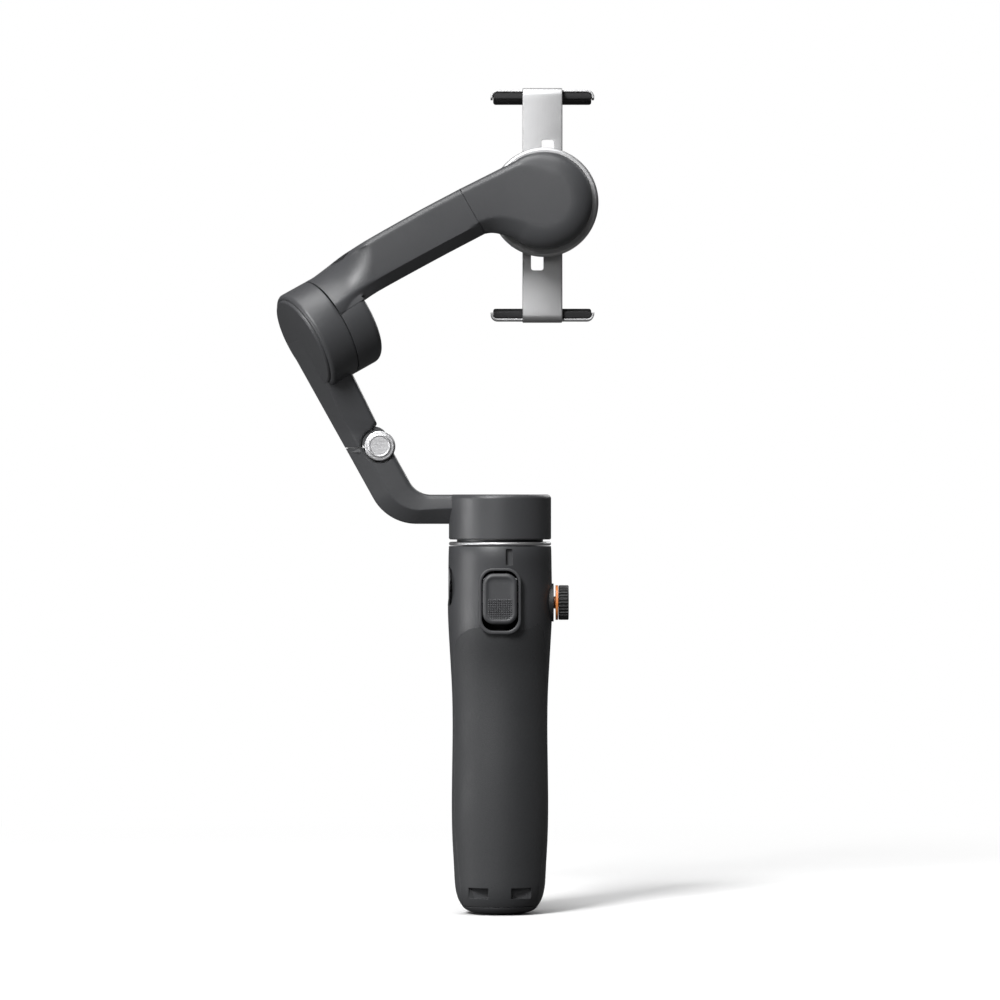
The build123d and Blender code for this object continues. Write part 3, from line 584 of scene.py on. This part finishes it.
def rim_fall(t, n):
    """How far the face has fallen towards the rim, from 0 on the face to 1 at the outline's edge."""
    points = np.stack([t, n], -1).reshape(-1, 1, 2)
    at_dome = ease((LOW_EDGE[:, 0] + 30) / 22)
    low_width = 3.8 + 4.4 * at_dome
    to_low = np.linalg.norm(points - LOW_EDGE[None], axis=2) / low_width[None]
    share = np.clip(1 - to_low, 0, 1)
    chamfer = share * 0.85
    curve = 1 - np.sqrt(np.clip(1 - share ** 2, 0, 1))
    from_low = (chamfer * (1 - at_dome)[None] + curve * at_dome[None]).max(1)
    right = ease((TOP_EDGE[:, 0] + 4) / 16)
    top_width = 2.2 + 6.0 * right
    to_top = np.linalg.norm(points - TOP_EDGE[None], axis=2) / top_width[None]
    share = np.clip(1 - to_top, 0, 1)
    from_top = (1 - np.sqrt(np.clip(1 - share ** 2, 0, 1))) * (0.5 + 0.5 * right)[None]
    from_top = from_top.max(1)
    return np.maximum(from_low, from_top).reshape(t.shape)


def arm_surface(first, last, columns=44, shrink=0.0):
    """Closed rows of the arm between two stations: the shaped face, the sides and a flat back."""
    low, top = LOW_EDGE[first:last], TOP_EDGE[first:last]
    v = 0.5 - 0.5 * np.cos(np.linspace(0, math.pi, columns))
    v = shrink + (1 - 2 * shrink) * v
    plan = low[:, None] * (1 - v[None, :, None]) + top[:, None] * v[None, :, None]
    t, n = plan[..., 0], plan[..., 1]
    if first == 0:
        bow = seam_on_drum(n[0], 0.3) - t[0]
        t += bow * np.exp(-(t - t[0]) / 5.0)
    else:
        t[0] += SEAM_WIDTH
    face = -11.0 + FACE_SLOPE * -np.logaddexp(0, -(t + 9) / 5) * 5
    crown = 0.25 * np.sin(np.pi * v)[None, :]
    fall = rim_fall(t, n)
    shallow = 1 - 0.62 * (1 - ease((t + 82) / 22))
    near = face - crown + (5.6 - 1.2 * ease((-t - 20) / 20)) * shallow * fall
    onto_drum = 1 - ease((t - seam_on_drum(n, 0.3)) / (11.0 + 17.0 * v))
    proud = 0.02 + 1.9 * (1 - ease(v / 0.8)) * (1 - 0.9 * fall)
    near = near * (1 - onto_drum) + (drum_depth(t, n) - proud) * onto_drum
    over_drum = (t - seam_on_drum(n, 0)) / AXIS_ALONG < 10.9
    near = np.where(over_drum, np.minimum(near, drum_depth(t, n) - 0.08), near)
    back_at = (-4.4 + (FACE_SLOPE * -np.logaddexp(0, -(low[:, :1] + 9) / 5) * 5)
               - 0.9 * ease((-low[:, :1] - 20) / 30))
    inside_drum = 1 - ease((low[:, :1] - low[0, 0]) / 17.0) if first == 0 else 0
    back_at = back_at + (2.0 - back_at) * inside_drum
    near = np.minimum(near + shrink * 18, back_at - 0.3)
    back_v = np.linspace(1, 0, 9)
    back_v = shrink + (1 - 2 * shrink) * back_v
    back_plan = low[:, None] * (1 - back_v[None, :, None]) + top[:, None] * back_v[None, :, None]
    round_back = np.array([1.3, 0.25, 0, 0, 0, 0, 0, 0.25, 1.3])[None, :]
    back_y = np.broadcast_to(back_at, back_plan.shape[:2]) - round_back - shrink * 18
    plan = np.concatenate([plan, back_plan], 1)
    depth = np.concatenate([near, back_y], 1)
    x = ROLL_POINT[0] + plan[..., 0] * ALONG[0] + plan[..., 1] * ACROSS[0]
    z = ROLL_POINT[2] + plan[..., 0] * ALONG[1] + plan[..., 1] * ACROSS[1]
    points, faces = loft(np.stack([x, depth, z], -1))
    return points, outward(points, faces)


SEAM_STATION = ARM_ROWS - 1
rotor_cup = turned(
    np.vstack([
        [(0.01, 0.15)], [(4.5, 0.15)], arc((18.3, 0.45), 0.3, -90, 0, 3), arc((15.8, 8.5), 2.8, 0, 90, 10),
        [(0.01, 11.3)],
    ]), where=ELBOW_PLACE, around=160)
dome_base = turned(
    np.vstack([
        [(0.01, 2.0)], arc((17.1, 1.7), 0.3, 90, 0, 3),
        [(17.4, -1.2), (17.15, -1.35), (17.15, -1.6), (17.4, -1.75)],
        [(17.4, -4.8), (16.3, -4.8), (16.3, -6.9), (0.01, -6.9)],
    ]), where=ROLL_PLACE, around=160)
fit(
    "upper_arm_shell", joined(arm_surface(0, SEAM_STATION + 1),
                              arm_surface(SEAM_STATION - 3, SEAM_STATION + 3, 24, 0.06),
                              rotor_cup, dome_base),
    "tilt_arm", MATERIAL["arm_paint"], ("upper_arm",), 30)
fit(
    "roll_motor_dome", arm_surface(SEAM_STATION, len(LOW_EDGE)), "tilt_arm", MATERIAL["arm_paint"],
    ("roll_motor_cover",), 30)


# ---- tilt motor drum, link and its cover --------------------------------------------------
def carved(shape, *cutters):
    """A shape less some others, as points and faces again."""
    piece = mesh_object("uncut", *shape)
    for cutter in cutters:
        tool = mesh_object("cutter", *cutter)
        modifier = piece.modifiers.new("cut", "BOOLEAN")
        modifier.operation, modifier.solver, modifier.object = "DIFFERENCE", "EXACT", tool
    bpy.context.view_layer.update()
    done = piece.evaluated_get(bpy.context.evaluated_depsgraph_get()).to_mesh()
    points = np.array([vertex.co for vertex in done.vertices]) / MM
    faces = [list(face.vertices) for face in done.polygons]
    for spare in [modifier.object for modifier in piece.modifiers] + [piece]:
        bpy.data.objects.remove(spare)
    return points, faces


def hinge_disc(radius, near, far, chamfer=0.15):
    """A disc about the fold axis between two depths, with small chamfers."""
    return turned([(0.01, near), (radius - chamfer, near), (radius, near + chamfer), (radius, far - chamfer),
                   (radius - chamfer, far), (0.01, far)], around=72, where=HINGE_PLACE)


def arm_section(width, ridge, side, front, inner_front, back, inner_back,
                radii=(1.5, 1.0, 2.2, 2.2, 2.0, 1.5)):
    """Six rounded corners: the outer edge, the front ridge, and the inner edge, then the same at the back."""
    corners = [(0, side), (0, side - 2.6), (ridge, -back), (width, -inner_back), (width, inner_front),
               (ridge, front)]
    order = (radii[0], radii[5], radii[4], radii[3], radii[2], radii[1])
    return rounded(corners, order, 6)


def section_rows(outer, inner, sections):
    """Rows of points: across from the outer to the inner line, and towards the front along -Y."""
    rows = []
    for start, end, section in zip(outer, inner, sections):
        width = np.linalg.norm(end - start)
        across = (end - start) / width
        where = start + section[:, :1] * across
        rows.append(np.stack([where[:, 0], -section[:, 1], where[:, 1]], -1))
    points, faces = loft(rows)
    return points, outward(points, faces)


def along_line(points, at):
    """Points along a polyline at shares of its length."""
    points = np.asarray(points, float)
    run = np.concatenate([[0], np.cumsum(np.linalg.norm(np.diff(points, axis=0), axis=1))])
    return np.stack([np.interp(np.asarray(at) * run[-1], run, points[:, i]) for i in range(2)], -1)


PARTING_Z = HINGE_POINT[2] - 0.7
HALF_PARTING = 0.16
HINGE_XZ = HINGE_POINT[[0, 2]]
seat = HINGE_XZ + arc((0, 0), 6.4, 184, 114, 14)
foot = HINGE_XZ + np.array([(-2.2, 6.35), (-1.25, 7.95), (-1.35, 8.6)])
link_inner = np.vstack([[(-60.6, 209.2), (-52.6, 193.2)], foot[::-1], seat[::-1]])
link_outer = np.array([(-76.6, 205.0), (-56.9, 169.8), (-55.75, PARTING_Z + HALF_PARTING)])
inner_run = np.concatenate([[0], np.cumsum(np.linalg.norm(np.diff(link_inner, axis=0), axis=1))])
share = np.unique(np.concatenate([np.linspace(0, 1, 40), inner_run[1:-1] / inner_run[-1]]))
inner_at = along_line(link_inner, share)
outer_share = np.interp(share, [0, inner_run[2] / inner_run[-1], 1], [0, 0.68, 1])
outer_at = along_line(link_outer, outer_share)
down = outer_share
link_sections = [
    arm_section(np.linalg.norm(b - a), 7.6 - 2.3 * ease(d), -3.3 + 3.5 * ease(d),
                18.8 - 11.7 * ease(0.1 + d * 1.0),
                15.6 - 9.0 * ease(0.1 + d * 1.0), 9.0 - 2.0 * ease(d), 8.0 - 1.4 * ease(d),
                (1.2, 0.8, min(1.6, 0.2 * np.linalg.norm(b - a)), min(1.6, 0.2 * np.linalg.norm(b - a)),
                 1.2, 1.2))
    for a, b, d in zip(outer_at, inner_at, down)]
link_strip = carved(
    section_rows(outer_at, inner_at, link_sections),
    hinge_disc(5.8, -3.55, 3.55), hinge_disc(6.4, -12, -5.9), hinge_disc(6.4, 5.9, 12))
drum = turned(
    np.vstack([
        [(0.01, -0.15)], [(4.5, -0.15)], arc((18.3, -0.45), 0.3, 90, 0, 3),
        arc((17.1, -9.5), 1.5, 0, -90, 8),
        [(17.05, -10.5), (0.01, -10.5)],
    ]), around=160, where=ELBOW_PLACE)
ears = [hinge_disc(5.35, a, b) for a, b in ((-7.0, -3.7), (3.7, 7.0))]
WEB = place((HINGE_POINT[0] - 1.9, 0, HINGE_POINT[2] + 2.4), (-1, 0, 0), (0, 0, 1), (0, 1, 0))
webs = [turned([(0.01, a), (4.6, a), (4.6, b), (0.01, b)], around=48, where=WEB)
        for a, b in ((-5.7, -3.7), (3.7, 5.7))]
fit("tilt_drum_and_link", joined(drum, link_strip, *ears, *webs), "fold_link", MATERIAL["arm_paint"],
    ("arm_link",), 30)

cap_turn = np.radians(np.linspace(0, 360, 145)[:-1])
cap_outline = 16.95 * np.stack([np.cos(cap_turn), np.sin(cap_turn)], -1)
ELBOW_BACK = place(ELBOW_POINT, LINK_UP, -np.cross(TILT_AXIS, LINK_UP), -TILT_AXIS)
fit("tilt_motor_cap", plate(cap_outline, 10.3, 11.9, 0.2, 0.8, ELBOW_BACK, 6), "fold_link",
    MATERIAL["arm_paint"],
    ("link_cover",), 30)

# ---- lower arm and hinge ------------------------------------------------------------------
def bent(start, corner, end, radius, straight=14, curve=26, after=12):
    """A line that turns a corner on a true arc."""
    start, corner, end = (np.asarray(p, float) for p in (start, corner, end))
    back, onward = unit(start - corner), unit(end - corner)
    half = math.acos(float(back @ onward)) / 2
    touch = radius / math.tan(half)
    t = np.linspace(0, 1, curve)[:, None]
    first, second = corner + back * touch, corner + onward * touch
    weight = math.sin(half)
    turn = ((1 - t) ** 2 * first + 2 * t * (1 - t) * weight * corner + t ** 2 * second) / (
        (1 - t) ** 2 + 2 * t * (1 - t) * weight + t ** 2)
    before = first + (start - first) * np.linspace(1, 0, straight)[:-1, None]
    beyond = second + (end - second) * np.linspace(0, 1, after)[1:, None]
    return np.vstack([before, turn, beyond])


HOUSING_HIGH = box_mm("pan_motor_housing")[1]
ARM_TOP, ARM_FOOT = HOUSING_HIGH[2] - 0.06, 140.3
lean = 1 / math.tan(math.radians(61))
top_z = PARTING_Z - HALF_PARTING
inner_line = bent((-30 - (top_z - ARM_TOP) * lean, top_z), (-30, ARM_TOP), (-15.8, ARM_TOP), 8.8)
outer_line = bent((-40.5 - (top_z - ARM_FOOT) * lean, top_z), (-40.5, ARM_FOOT), (-15.8, ARM_FOOT), 17.8)
arm_share = np.linspace(0, 1, len(inner_line))
lower_sections = [
    arm_section(np.linalg.norm(b - a), 6.1 - 0.6 * ease(d), 1.2 + 1.0 * ease(d * 1.2),
                7.1 - 0.7 * ease(d * 1.3), 6.3 - 0.5 * ease(d),
                7.1 - 0.7 * ease(d * 1.3), 6.3 - 0.5 * ease(d), (1.6, 0.9, 2.0, 2.0, 0.9, 1.6))
    for a, b, d in zip(outer_line, inner_line, arm_share)]
lower_arm = carved(
    section_rows(outer_line, inner_line, lower_sections),
    hinge_disc(5.75, -9, -3.55), hinge_disc(5.75, 3.55, 9), hinge_disc(6.3, -12, -6.2),
    hinge_disc(6.3, 6.2, 12))
lug = hinge_disc(5.35, -3.4, 3.4)
# a tongue stands in the parting, so that the gap is a groove and not a slit
tongue_out, tongue_in = outer_line[0] + (0.7, 0), inner_line[0] - (1.4, 0)
tongue_section = arm_section(np.linalg.norm(tongue_in - tongue_out), 4.4, 0.8, 6.0, 5.2, 6.0, 5.2,
                             (1, 0.6, 1, 1, 0.6, 1))
tongue = carved(section_rows([tongue_out - (0, 1.5), tongue_out + (0, 0.26)],
                             [tongue_in - (0, 1.5), tongue_in + (0, 0.26)],
                             [tongue_section, tongue_section]),
                hinge_disc(5.75, -9, -3.55), hinge_disc(5.75, 3.55, 9))
fit("lower_arm_bend", joined(lower_arm, lug, tongue), "pan_arm", MATERIAL["arm_paint"], ("lower_arm",), 30)

half_pin = np.array([(0.01, 8.05), (3.3, 8.05), (3.55, 8.2), (3.85, 8.2), (4.05, 8.0), (4.05, 7.85),
                     (4.3, 7.78),
                     (4.95, 7.78), (5.3, 7.6), (5.4, 7.35), (5.4, 7.12), (5.3, 7.04), (2.4, 7.04)])
fit("fold_hinge_caps",
    turned(np.vstack([half_pin, (half_pin * (1, -1))[::-1]]), around=96, where=HINGE_PLACE), "pan_arm",
    MATERIAL["silver_metal"], ("fold_hinge_pin",), 25)
fit("collar_band", turned(np.vstack([
    arc((16.6, 133.2), 0.68, 180, 270, 4), [(17.6, 132.52)], arc((17.7, 133.2), 0.68, -80, 80, 10),
    [(17.0, 133.88)],
    arc((16.6, 133.2), 0.68, 90, 170, 4)]), around=160), "handle", MATERIAL["silver_metal"],
    ("collar_ring",), 30)

# ---- trigger and wheel --------------------------------------------------------------------
FRONT = place((0, 0, 0), (1, 0, 0), (0, 0, 1), (0, -1, 0))
trigger_low, trigger_high = box_mm("trigger")
TRIGGER_MIDDLE = (trigger_low[2] + trigger_high[2]) / 2
trigger_outline = rounded_box(12.4, 18.1, 4.0, 10) + (0, TRIGGER_MIDDLE)
TRIGGER_FACE = -trigger_low[1]
rim_turn = np.radians(np.linspace(0, 90, 7))
trigger_rows = [at_height(trigger_outline, 14.0), at_height(trigger_outline, TRIGGER_FACE - 1.3)]
trigger_rows += [at_height(inset(trigger_outline, 1.1 * (1 - math.cos(a))),
                           TRIGGER_FACE - 1.1 * (1 - math.sin(a)))
                 for a in rim_turn[1:]]
trigger_rows += [at_height(inset(trigger_outline, reach), TRIGGER_FACE - drop)
                 for reach, drop in ((1.35, 0.03), (1.6, 0.14), (1.95, 0.3), (2.4, 0.38), (3.2, 0.4))]
trigger_body = loft(trigger_rows)
studs = []
for stud_x in np.arange(-4.0, 4.01, 0.8):
    for stud_z in np.arange(105.9, 113.6, 0.8):
        if math.hypot(max(abs(stud_x) - 2.6, 0), max(107.4 - stud_z, 0)) < 2.0:
            base = np.array([(-0.29, -0.29), (0.29, -0.29), (0.29, 0.29), (-0.29, 0.29)])
            centre = np.array([stud_x, stud_z])
            studs.append(loft([at_height(centre + base, TRIGGER_FACE - 0.5),
                               at_height(centre + base, TRIGGER_FACE - 0.28),
                               at_height(centre + base * 0.6, TRIGGER_FACE - 0.12)]))
trigger_shell = joined(trigger_body, *studs)
fit("trigger_key", (FRONT(trigger_shell[0]), trigger_shell[1]), "trigger", MATERIAL["matte_dark"],
    ("trigger",), 35)
frame_low, frame_high = box_mm("trigger_frame")
FRAME_MIDDLE = (frame_low[2] + frame_high[2]) / 2
FRAME_FACE = -frame_low[1]
outer = rounded_box(frame_high[0] - frame_low[0], 23.6, 5.0, 10) + (0, FRAME_MIDDLE)
inner = rounded_box(12.9, 21.3, 4.2, 10) + (0, FRAME_MIDDLE + 0.15)
frame_rows = [at_height(outer, 16.2), at_height(outer, FRAME_FACE - 0.3),
              at_height(inset(outer, 0.1), FRAME_FACE - 0.1),
              at_height(inset(outer, 0.3), FRAME_FACE), at_height(inset(inner, -0.3), FRAME_FACE),
              at_height(inset(inner, -0.1), FRAME_FACE - 0.1), at_height(inner, FRAME_FACE - 0.3),
              at_height(inner, 16.2)]
frame_points, frame_faces = ring_loft(frame_rows)
fit("trigger_surround", (FRONT(frame_points), outward(FRONT(frame_points), frame_faces)), "handle",
    MATERIAL["matte_dark"],
    ("trigger_frame",), 30)

wheel_low, wheel_high = box_mm("side_wheel")
RIBS = 30


def ribbed(angle, radius, height):
    """Trapezoid ribs on the wheel's side, fading out at its two rims."""
    wave = np.clip(1.4 * np.cos(RIBS * angle), -0.8, 0.8) / 0.8
    middle = (wheel_low[0] + wheel_high[0]) / 2
    reach = np.clip((1.72 - np.abs(height - middle)) / 0.3, 0, 1)
    return np.where(radius > 5.6, 0.24 * (wave - 1) * reach, 0)


wheel_profile = np.vstack([
    [(2.0, wheel_low[0])], [(5.7, wheel_low[0])], arc((5.85, wheel_low[0] + 0.4), 0.4, -70, 0, 3),
    [(6.25, wheel_low[0] + h) for h in (0.7, 1.2, 1.8, 2.4, 2.9)],
    arc((5.85, wheel_high[0] - 0.4), 0.4, 0, 90, 4),
    [(5.0, wheel_high[0]), (4.8, wheel_high[0] - 0.25), (2.0, wheel_high[0] - 0.25)],
])
fit("side_wheel_ribbed", turned(wheel_profile, RIBS * 8, WHEEL_PLACE, ribbed), "wheel",
    MATERIAL["black_plastic"],
    ("side_wheel",), 30)


# ---- clamp straps, jaws and pads ----------------------------------------------------------
RACK_PITCH = 0.6 * math.pi
RACK_TIP = 2.62


def strap_and_jaw(strap_y, turn):
    """A bent strap with window and rack fork, a jaw channel and a ribbed pad; turn is -1 for the lower."""
    where = place((CLAMP_POINT[0], 0, CLAMP_POINT[2]), (turn, 0, 0), (0, 1, 0), (0, 0, turn))
    middle = strap_y + 0.6
    bend_centre = (middle + 2.0, 39.9)
    turning = np.radians(np.linspace(180, 90, 12))
    path = [(middle, z) for z in (9.8, 12.0, 24.0, 32.0, 38.0)]
    path += [(bend_centre[0] + 2.0 * math.cos(a), bend_centre[1] + 2.0 * math.sin(a)) for a in turning]
    path += [(20.0, 41.9), (24.0, 41.85)]
    path = np.array(path)
    heading = np.gradient(path, axis=0)
    sheet = rounded_box(14.5, 1.2, 0.4, 4)
    stations = [((0, y, z), (1, 0, 0), (0, -dz, dy), sheet) for (y, z), (dy, dz) in zip(path, heading)]
    window = rounded([(-0.35, 12.0), (4.15, 12.0), (4.15, 23.7), (-0.35, 23.7)], [0.9] * 4, 5)
    opening_points, opening_faces = plate(window, 10.0, 18.0, 0.01, 0.01,
                                          place((0, 0, 0), (1, 0, 0), (0, 0, 1), (0, -1, 0)))
    opening_points = opening_points * (1, -1, 1)
    strap = carved(bar(stations), (opening_points, [face[::-1] for face in opening_faces]))
    teeth = [(x, RACK_PITCH * index + z) for index in range(4, -4, -1)
             for x, z in ((3.95, 0.5), (RACK_TIP, 0.22), (RACK_TIP, -0.22), (3.95, -0.5))]
    fork = [(7.25, -10.0), (7.25, 9.9), (3.95, 9.9)] + teeth
    fork += [(3.95, -7.2), (-3.9, -7.2), (-3.9, 9.9), (-7.25, 9.9), (-7.25, -10.0)]
    rack = plate(np.array(fork), -middle - 0.6, -middle + 0.6, 0.02, 0.02,
                 place((0, 0, 0), (1, 0, 0), (0, 0, 1), (0, -1, 0)), 1)
    turning = np.radians(np.linspace(90, 0, 10))
    outer = [(16.3 + 2.55 * math.cos(a), 39.35 + 2.55 * math.sin(a)) for a in turning]
    outer += [(18.85, 38.9)]
    inner = [(16.3 + 1.75 * math.cos(a), 39.35 + 1.75 * math.sin(a)) for a in turning]
    inner += [(18.05, 38.9)]
    right = np.array(outer + inner[::-1])
    channel = np.vstack([right, (right * (-1, 1))[::-1]])[::-1]
    face_on = place((0, 0, 0), (1, 0, 0), (0, 0, 1), (0, -1, 0))
    jaw_points, jaw_faces = plate(channel, -28.4, -17.2, 0.18, 0.18, face_on, 3)
    pad_outline = rounded([(-17.9, 38.6), (17.9, 38.6), (17.9, 41.0), (-17.9, 41.0)],
                          [0.5, 0.5, 1.4, 1.4], 5)
    pads = [plate(pad_outline, -26.8, -17.5, 0.35, 0.5, face_on, 4)]
    lip = rounded([(-17.9, 37.2), (17.9, 37.2), (17.9, 41.0), (-17.9, 41.0)], [0.9, 0.9, 1.4, 1.4], 5)
    pads.append(plate(lip, -28.3, -26.7, 0.5, 0.4, face_on, 4))
    for rib_y in np.arange(18.6, 26.0, 1.1):
        rib = rounded([(-16.6, 38.3), (16.6, 38.3), (16.6, 39.2), (-16.6, 39.2)], [0.25] * 4, 3)
        pads.append(plate(rib, -rib_y - 0.3, -rib_y + 0.3, 0.15, 0.15, face_on, 2))
    pad_points, pad_faces = joined(*pads)
    metal_points, metal_faces = joined(strap, rack, (jaw_points, jaw_faces))
    return (where(metal_points), metal_faces), (where(pad_points), pad_faces)


for label, strap_y, turn in (("upper", 13.7, 1), ("lower", 15.2, -1)):
    metal_shape, pad_shape = strap_and_jaw(strap_y, turn)
    fit(label + "_clamp_strap", metal_shape, label + "_jaw", MATERIAL["clamp_metal"],
        (label + "_clamp_arm",), 30)
    fit(label + "_ribbed_pad", pad_shape, label + "_jaw", MATERIAL["pad_rubber"], (label + "_jaw_pad",), 30)


# ---- controls on the back -----------------------------------------------------------------
def behind(node):
    """A place whose local z runs out of the handle's back, centred on a control."""
    low, high = box_mm(node)
    return place((0, 0, (low[2] + high[2]) / 2), (-1, 0, 0), (0, 0, 1), (0, 1, 0)), low, high


record_place, record_low, record_high = behind("record_button")
fit("record_button_dished", turned(np.vstack([
    [(0.01, record_low[1]), (4.55, record_low[1])], arc((4.1, record_high[1] - 0.5), 0.5, 0, 90, 6),
    [(3.7, record_high[1] - 0.04), (3.1, record_high[1] - 0.18), (2.2, record_high[1] - 0.32),
     (1.1, record_high[1] - 0.38), (0.01, record_high[1] - 0.4)]]), where=record_place, around=96),
    "record_button", MATERIAL["red_accent"], ("record_button",), 35)

stick_low, stick_high = box_mm("joystick_cap")
STICK_TOP = stick_high[1]


def gripped(angle, radius, height):
    """Fine flutes round the joystick's rim."""
    return np.where((radius > 4.7) & (height > STICK_TOP - 1.6), 0.09 * (np.cos(40 * angle) - 1), 0)


fit("joystick_cap_fluted", turned(np.vstack([
    [(0.01, stick_low[1]), (1.45, stick_low[1]), (1.45, 19.3), (1.8, 20.3), (2.7, 20.8), (4.6, 20.95)],
    arc((4.7, 21.25), 0.3, -80, 0, 3), [(5.0, 21.6), (5.0, 22.0)],
    arc((4.6, STICK_TOP - 0.4), 0.4, 0, 90, 5),
    [(4.2, STICK_TOP - 0.05), (3.6, STICK_TOP - 0.25), (2.4, STICK_TOP - 0.5), (1.2, STICK_TOP - 0.6),
     (0.01, STICK_TOP - 0.62)]]), where=place((0, 0, STICK_POINT[2]), (-1, 0, 0), (0, 0, 1), (0, 1, 0)),
     around=240,
    ripple=gripped), "stick_cap", MATERIAL["pad_rubber"], ("joystick_cap",), 35)

mode_place, mode_low, mode_high = behind("mode_button")
mode_outline = rounded_box(mode_high[0] - mode_low[0], mode_high[2] - mode_low[2], 1.7, 8)
mode_rows = [at_height(mode_outline, mode_low[1]), at_height(mode_outline, mode_high[1] - 0.5)]
mode_rows += [at_height(inset(mode_outline, 0.45 * (1 - math.cos(a))),
                        mode_high[1] - 0.45 * (1 - math.sin(a)))
              for a in np.radians(np.linspace(0, 90, 6))]
mode_rows += [at_height(inset(mode_outline, reach), mode_high[1] - drop)
              for reach, drop in ((0.65, 0.03), (0.9, 0.12), (1.2, 0.17))]
mode_points, mode_faces = loft(mode_rows)
fit("mode_button_dished", (mode_place(mode_points), outward(mode_place(mode_points), mode_faces)),
    "mode_button",
    MATERIAL["black_plastic"], ("mode_button",), 35)


# ---- floor, light and camera --------------------------------------------------------------
FLOOR_HALF = 30.0
floor_mesh = bpy.data.meshes.new("studio_floor")
floor_mesh.from_pydata([(-FLOOR_HALF, -FLOOR_HALF, 0), (FLOOR_HALF, -FLOOR_HALF, 0),
                        (FLOOR_HALF, FLOOR_HALF, 0),
                        (-FLOOR_HALF, FLOOR_HALF, 0)], [], [(0, 1, 2, 3)])
floor = bpy.data.objects.new("studio_floor", floor_mesh)
bpy.context.scene.collection.objects.link(floor)
floor_material, floor_tree, floor_shader = new_material("pale_floor")
floor_grain = grouped(floor_tree, GRAIN, Grain_size=0.004)
floor_tone = grouped(floor_tree, TONED, Color=(0.9, 0.9, 0.9, 1), Tone=floor_grain.outputs["Tone"],
                     Amount=0.02)
floor_tree.links.new(floor_tone.outputs[0], floor_shader.inputs["Base Color"])
floor_shader.inputs["Roughness"].default_value = 0.9
floor_shader.inputs["Specular IOR Level"].default_value = 0.1
# away from the object the floor fades into the white studio, and it sends little light back up
floor_where = add(floor_tree, "ShaderNodeTexCoord").outputs["Object"]
floor_far = add(floor_tree, "ShaderNodeVectorMath", {"operation": "LENGTH"}, i0=floor_where).outputs["Value"]
floor_fade = add(floor_tree, "ShaderNodeMapRange", {"interpolation_type": "SMOOTHSTEP"}, i0=floor_far,
                 i1=0.12, i2=0.6)
floor_white = add(floor_tree, "ShaderNodeEmission", Color=(1, 1, 1, 1), Strength=1.0)
floor_seen = add(floor_tree, "ShaderNodeMixShader", i0=floor_fade.outputs[0], i1=floor_shader.outputs[0],
                 i2=floor_white.outputs[0])
floor_bounce = add(floor_tree, "ShaderNodeBsdfDiffuse", Color=(0.1, 0.1, 0.1, 1))
floor_sight = add(floor_tree, "ShaderNodeLightPath").outputs["Is Camera Ray"]
floor_mix = add(floor_tree, "ShaderNodeMixShader", i0=floor_sight, i1=floor_bounce.outputs[0],
                i2=floor_seen.outputs[0])
floor_out = next(node for node in floor_tree.nodes if node.type == "OUTPUT_MATERIAL")
floor_tree.links.new(floor_mix.outputs[0], floor_out.inputs[0])
floor_mesh.materials.append(floor_material)


def soft_light(name, position, target, size, power):
    data = bpy.data.lights.new(name, "AREA")
    data.shape = "RECTANGLE"
    data.size, data.size_y = size
    data.energy = power
    lamp = bpy.data.objects.new(name, data)
    lamp.location = position
    away = np.asarray(position, float) - np.asarray(target, float)
    lamp.rotation_mode = "QUATERNION"
    lamp.rotation_quaternion = Vector(away).to_track_quat("Z", "Y")
    bpy.context.scene.collection.objects.link(lamp)


MIDDLE = (0.0, 0.0, 0.16)
soft_light("key_softbox", (-0.72, -1.5, 1.35), MIDDLE, (0.45, 0.7), 50)
soft_light("front_fill", (-0.3, -2.2, 0.7), MIDDLE, (0.6, 0.5), 4)
soft_light("top_softbox", (-0.1, -0.2, 1.4), MIDDLE, (0.8, 0.6), 12)
soft_light("low_left", (-1.1, -0.3, 0.03), (-0.07, 0.0, 0.24), (0.5, 0.12), 7)
soft_light("rear_fill", (0.7, 1.4, 0.9), MIDDLE, (0.9, 0.9), 7)

world = bpy.data.worlds.new("studio_world")
bpy.context.scene.world = world
world.use_nodes = True
sky = world.node_tree
sky.nodes.clear()
seen = add(sky, "ShaderNodeBackground", Color=(1, 1, 1, 1), Strength=1.0)
lit = add(sky, "ShaderNodeBackground", Color=(1, 1, 1, 1), Strength=0.07)
sight = add(sky, "ShaderNodeLightPath").outputs["Is Camera Ray"]
both = add(sky, "ShaderNodeMixShader", i0=sight, i1=lit.outputs[0], i2=seen.outputs[0])
add(sky, "ShaderNodeOutputWorld", Surface=both.outputs[0])

VIEW_WIDTH = 0.36
VIEW_HEIGHT_CENTRE = 0.1489
LENS = 200.0
camera_data = bpy.data.cameras.new("long_lens")
camera_data.lens = LENS
camera_data.sensor_width = 36.0
camera = bpy.data.objects.new("long_lens", camera_data)
camera.location = (0.0, -VIEW_WIDTH * LENS / 36.0, VIEW_HEIGHT_CENTRE)
camera.rotation_euler = (math.pi / 2, 0, 0)
bpy.context.scene.collection.objects.link(camera)
bpy.context.scene.camera = camera
bpy.context.scene.view_settings.view_transform = "Standard"
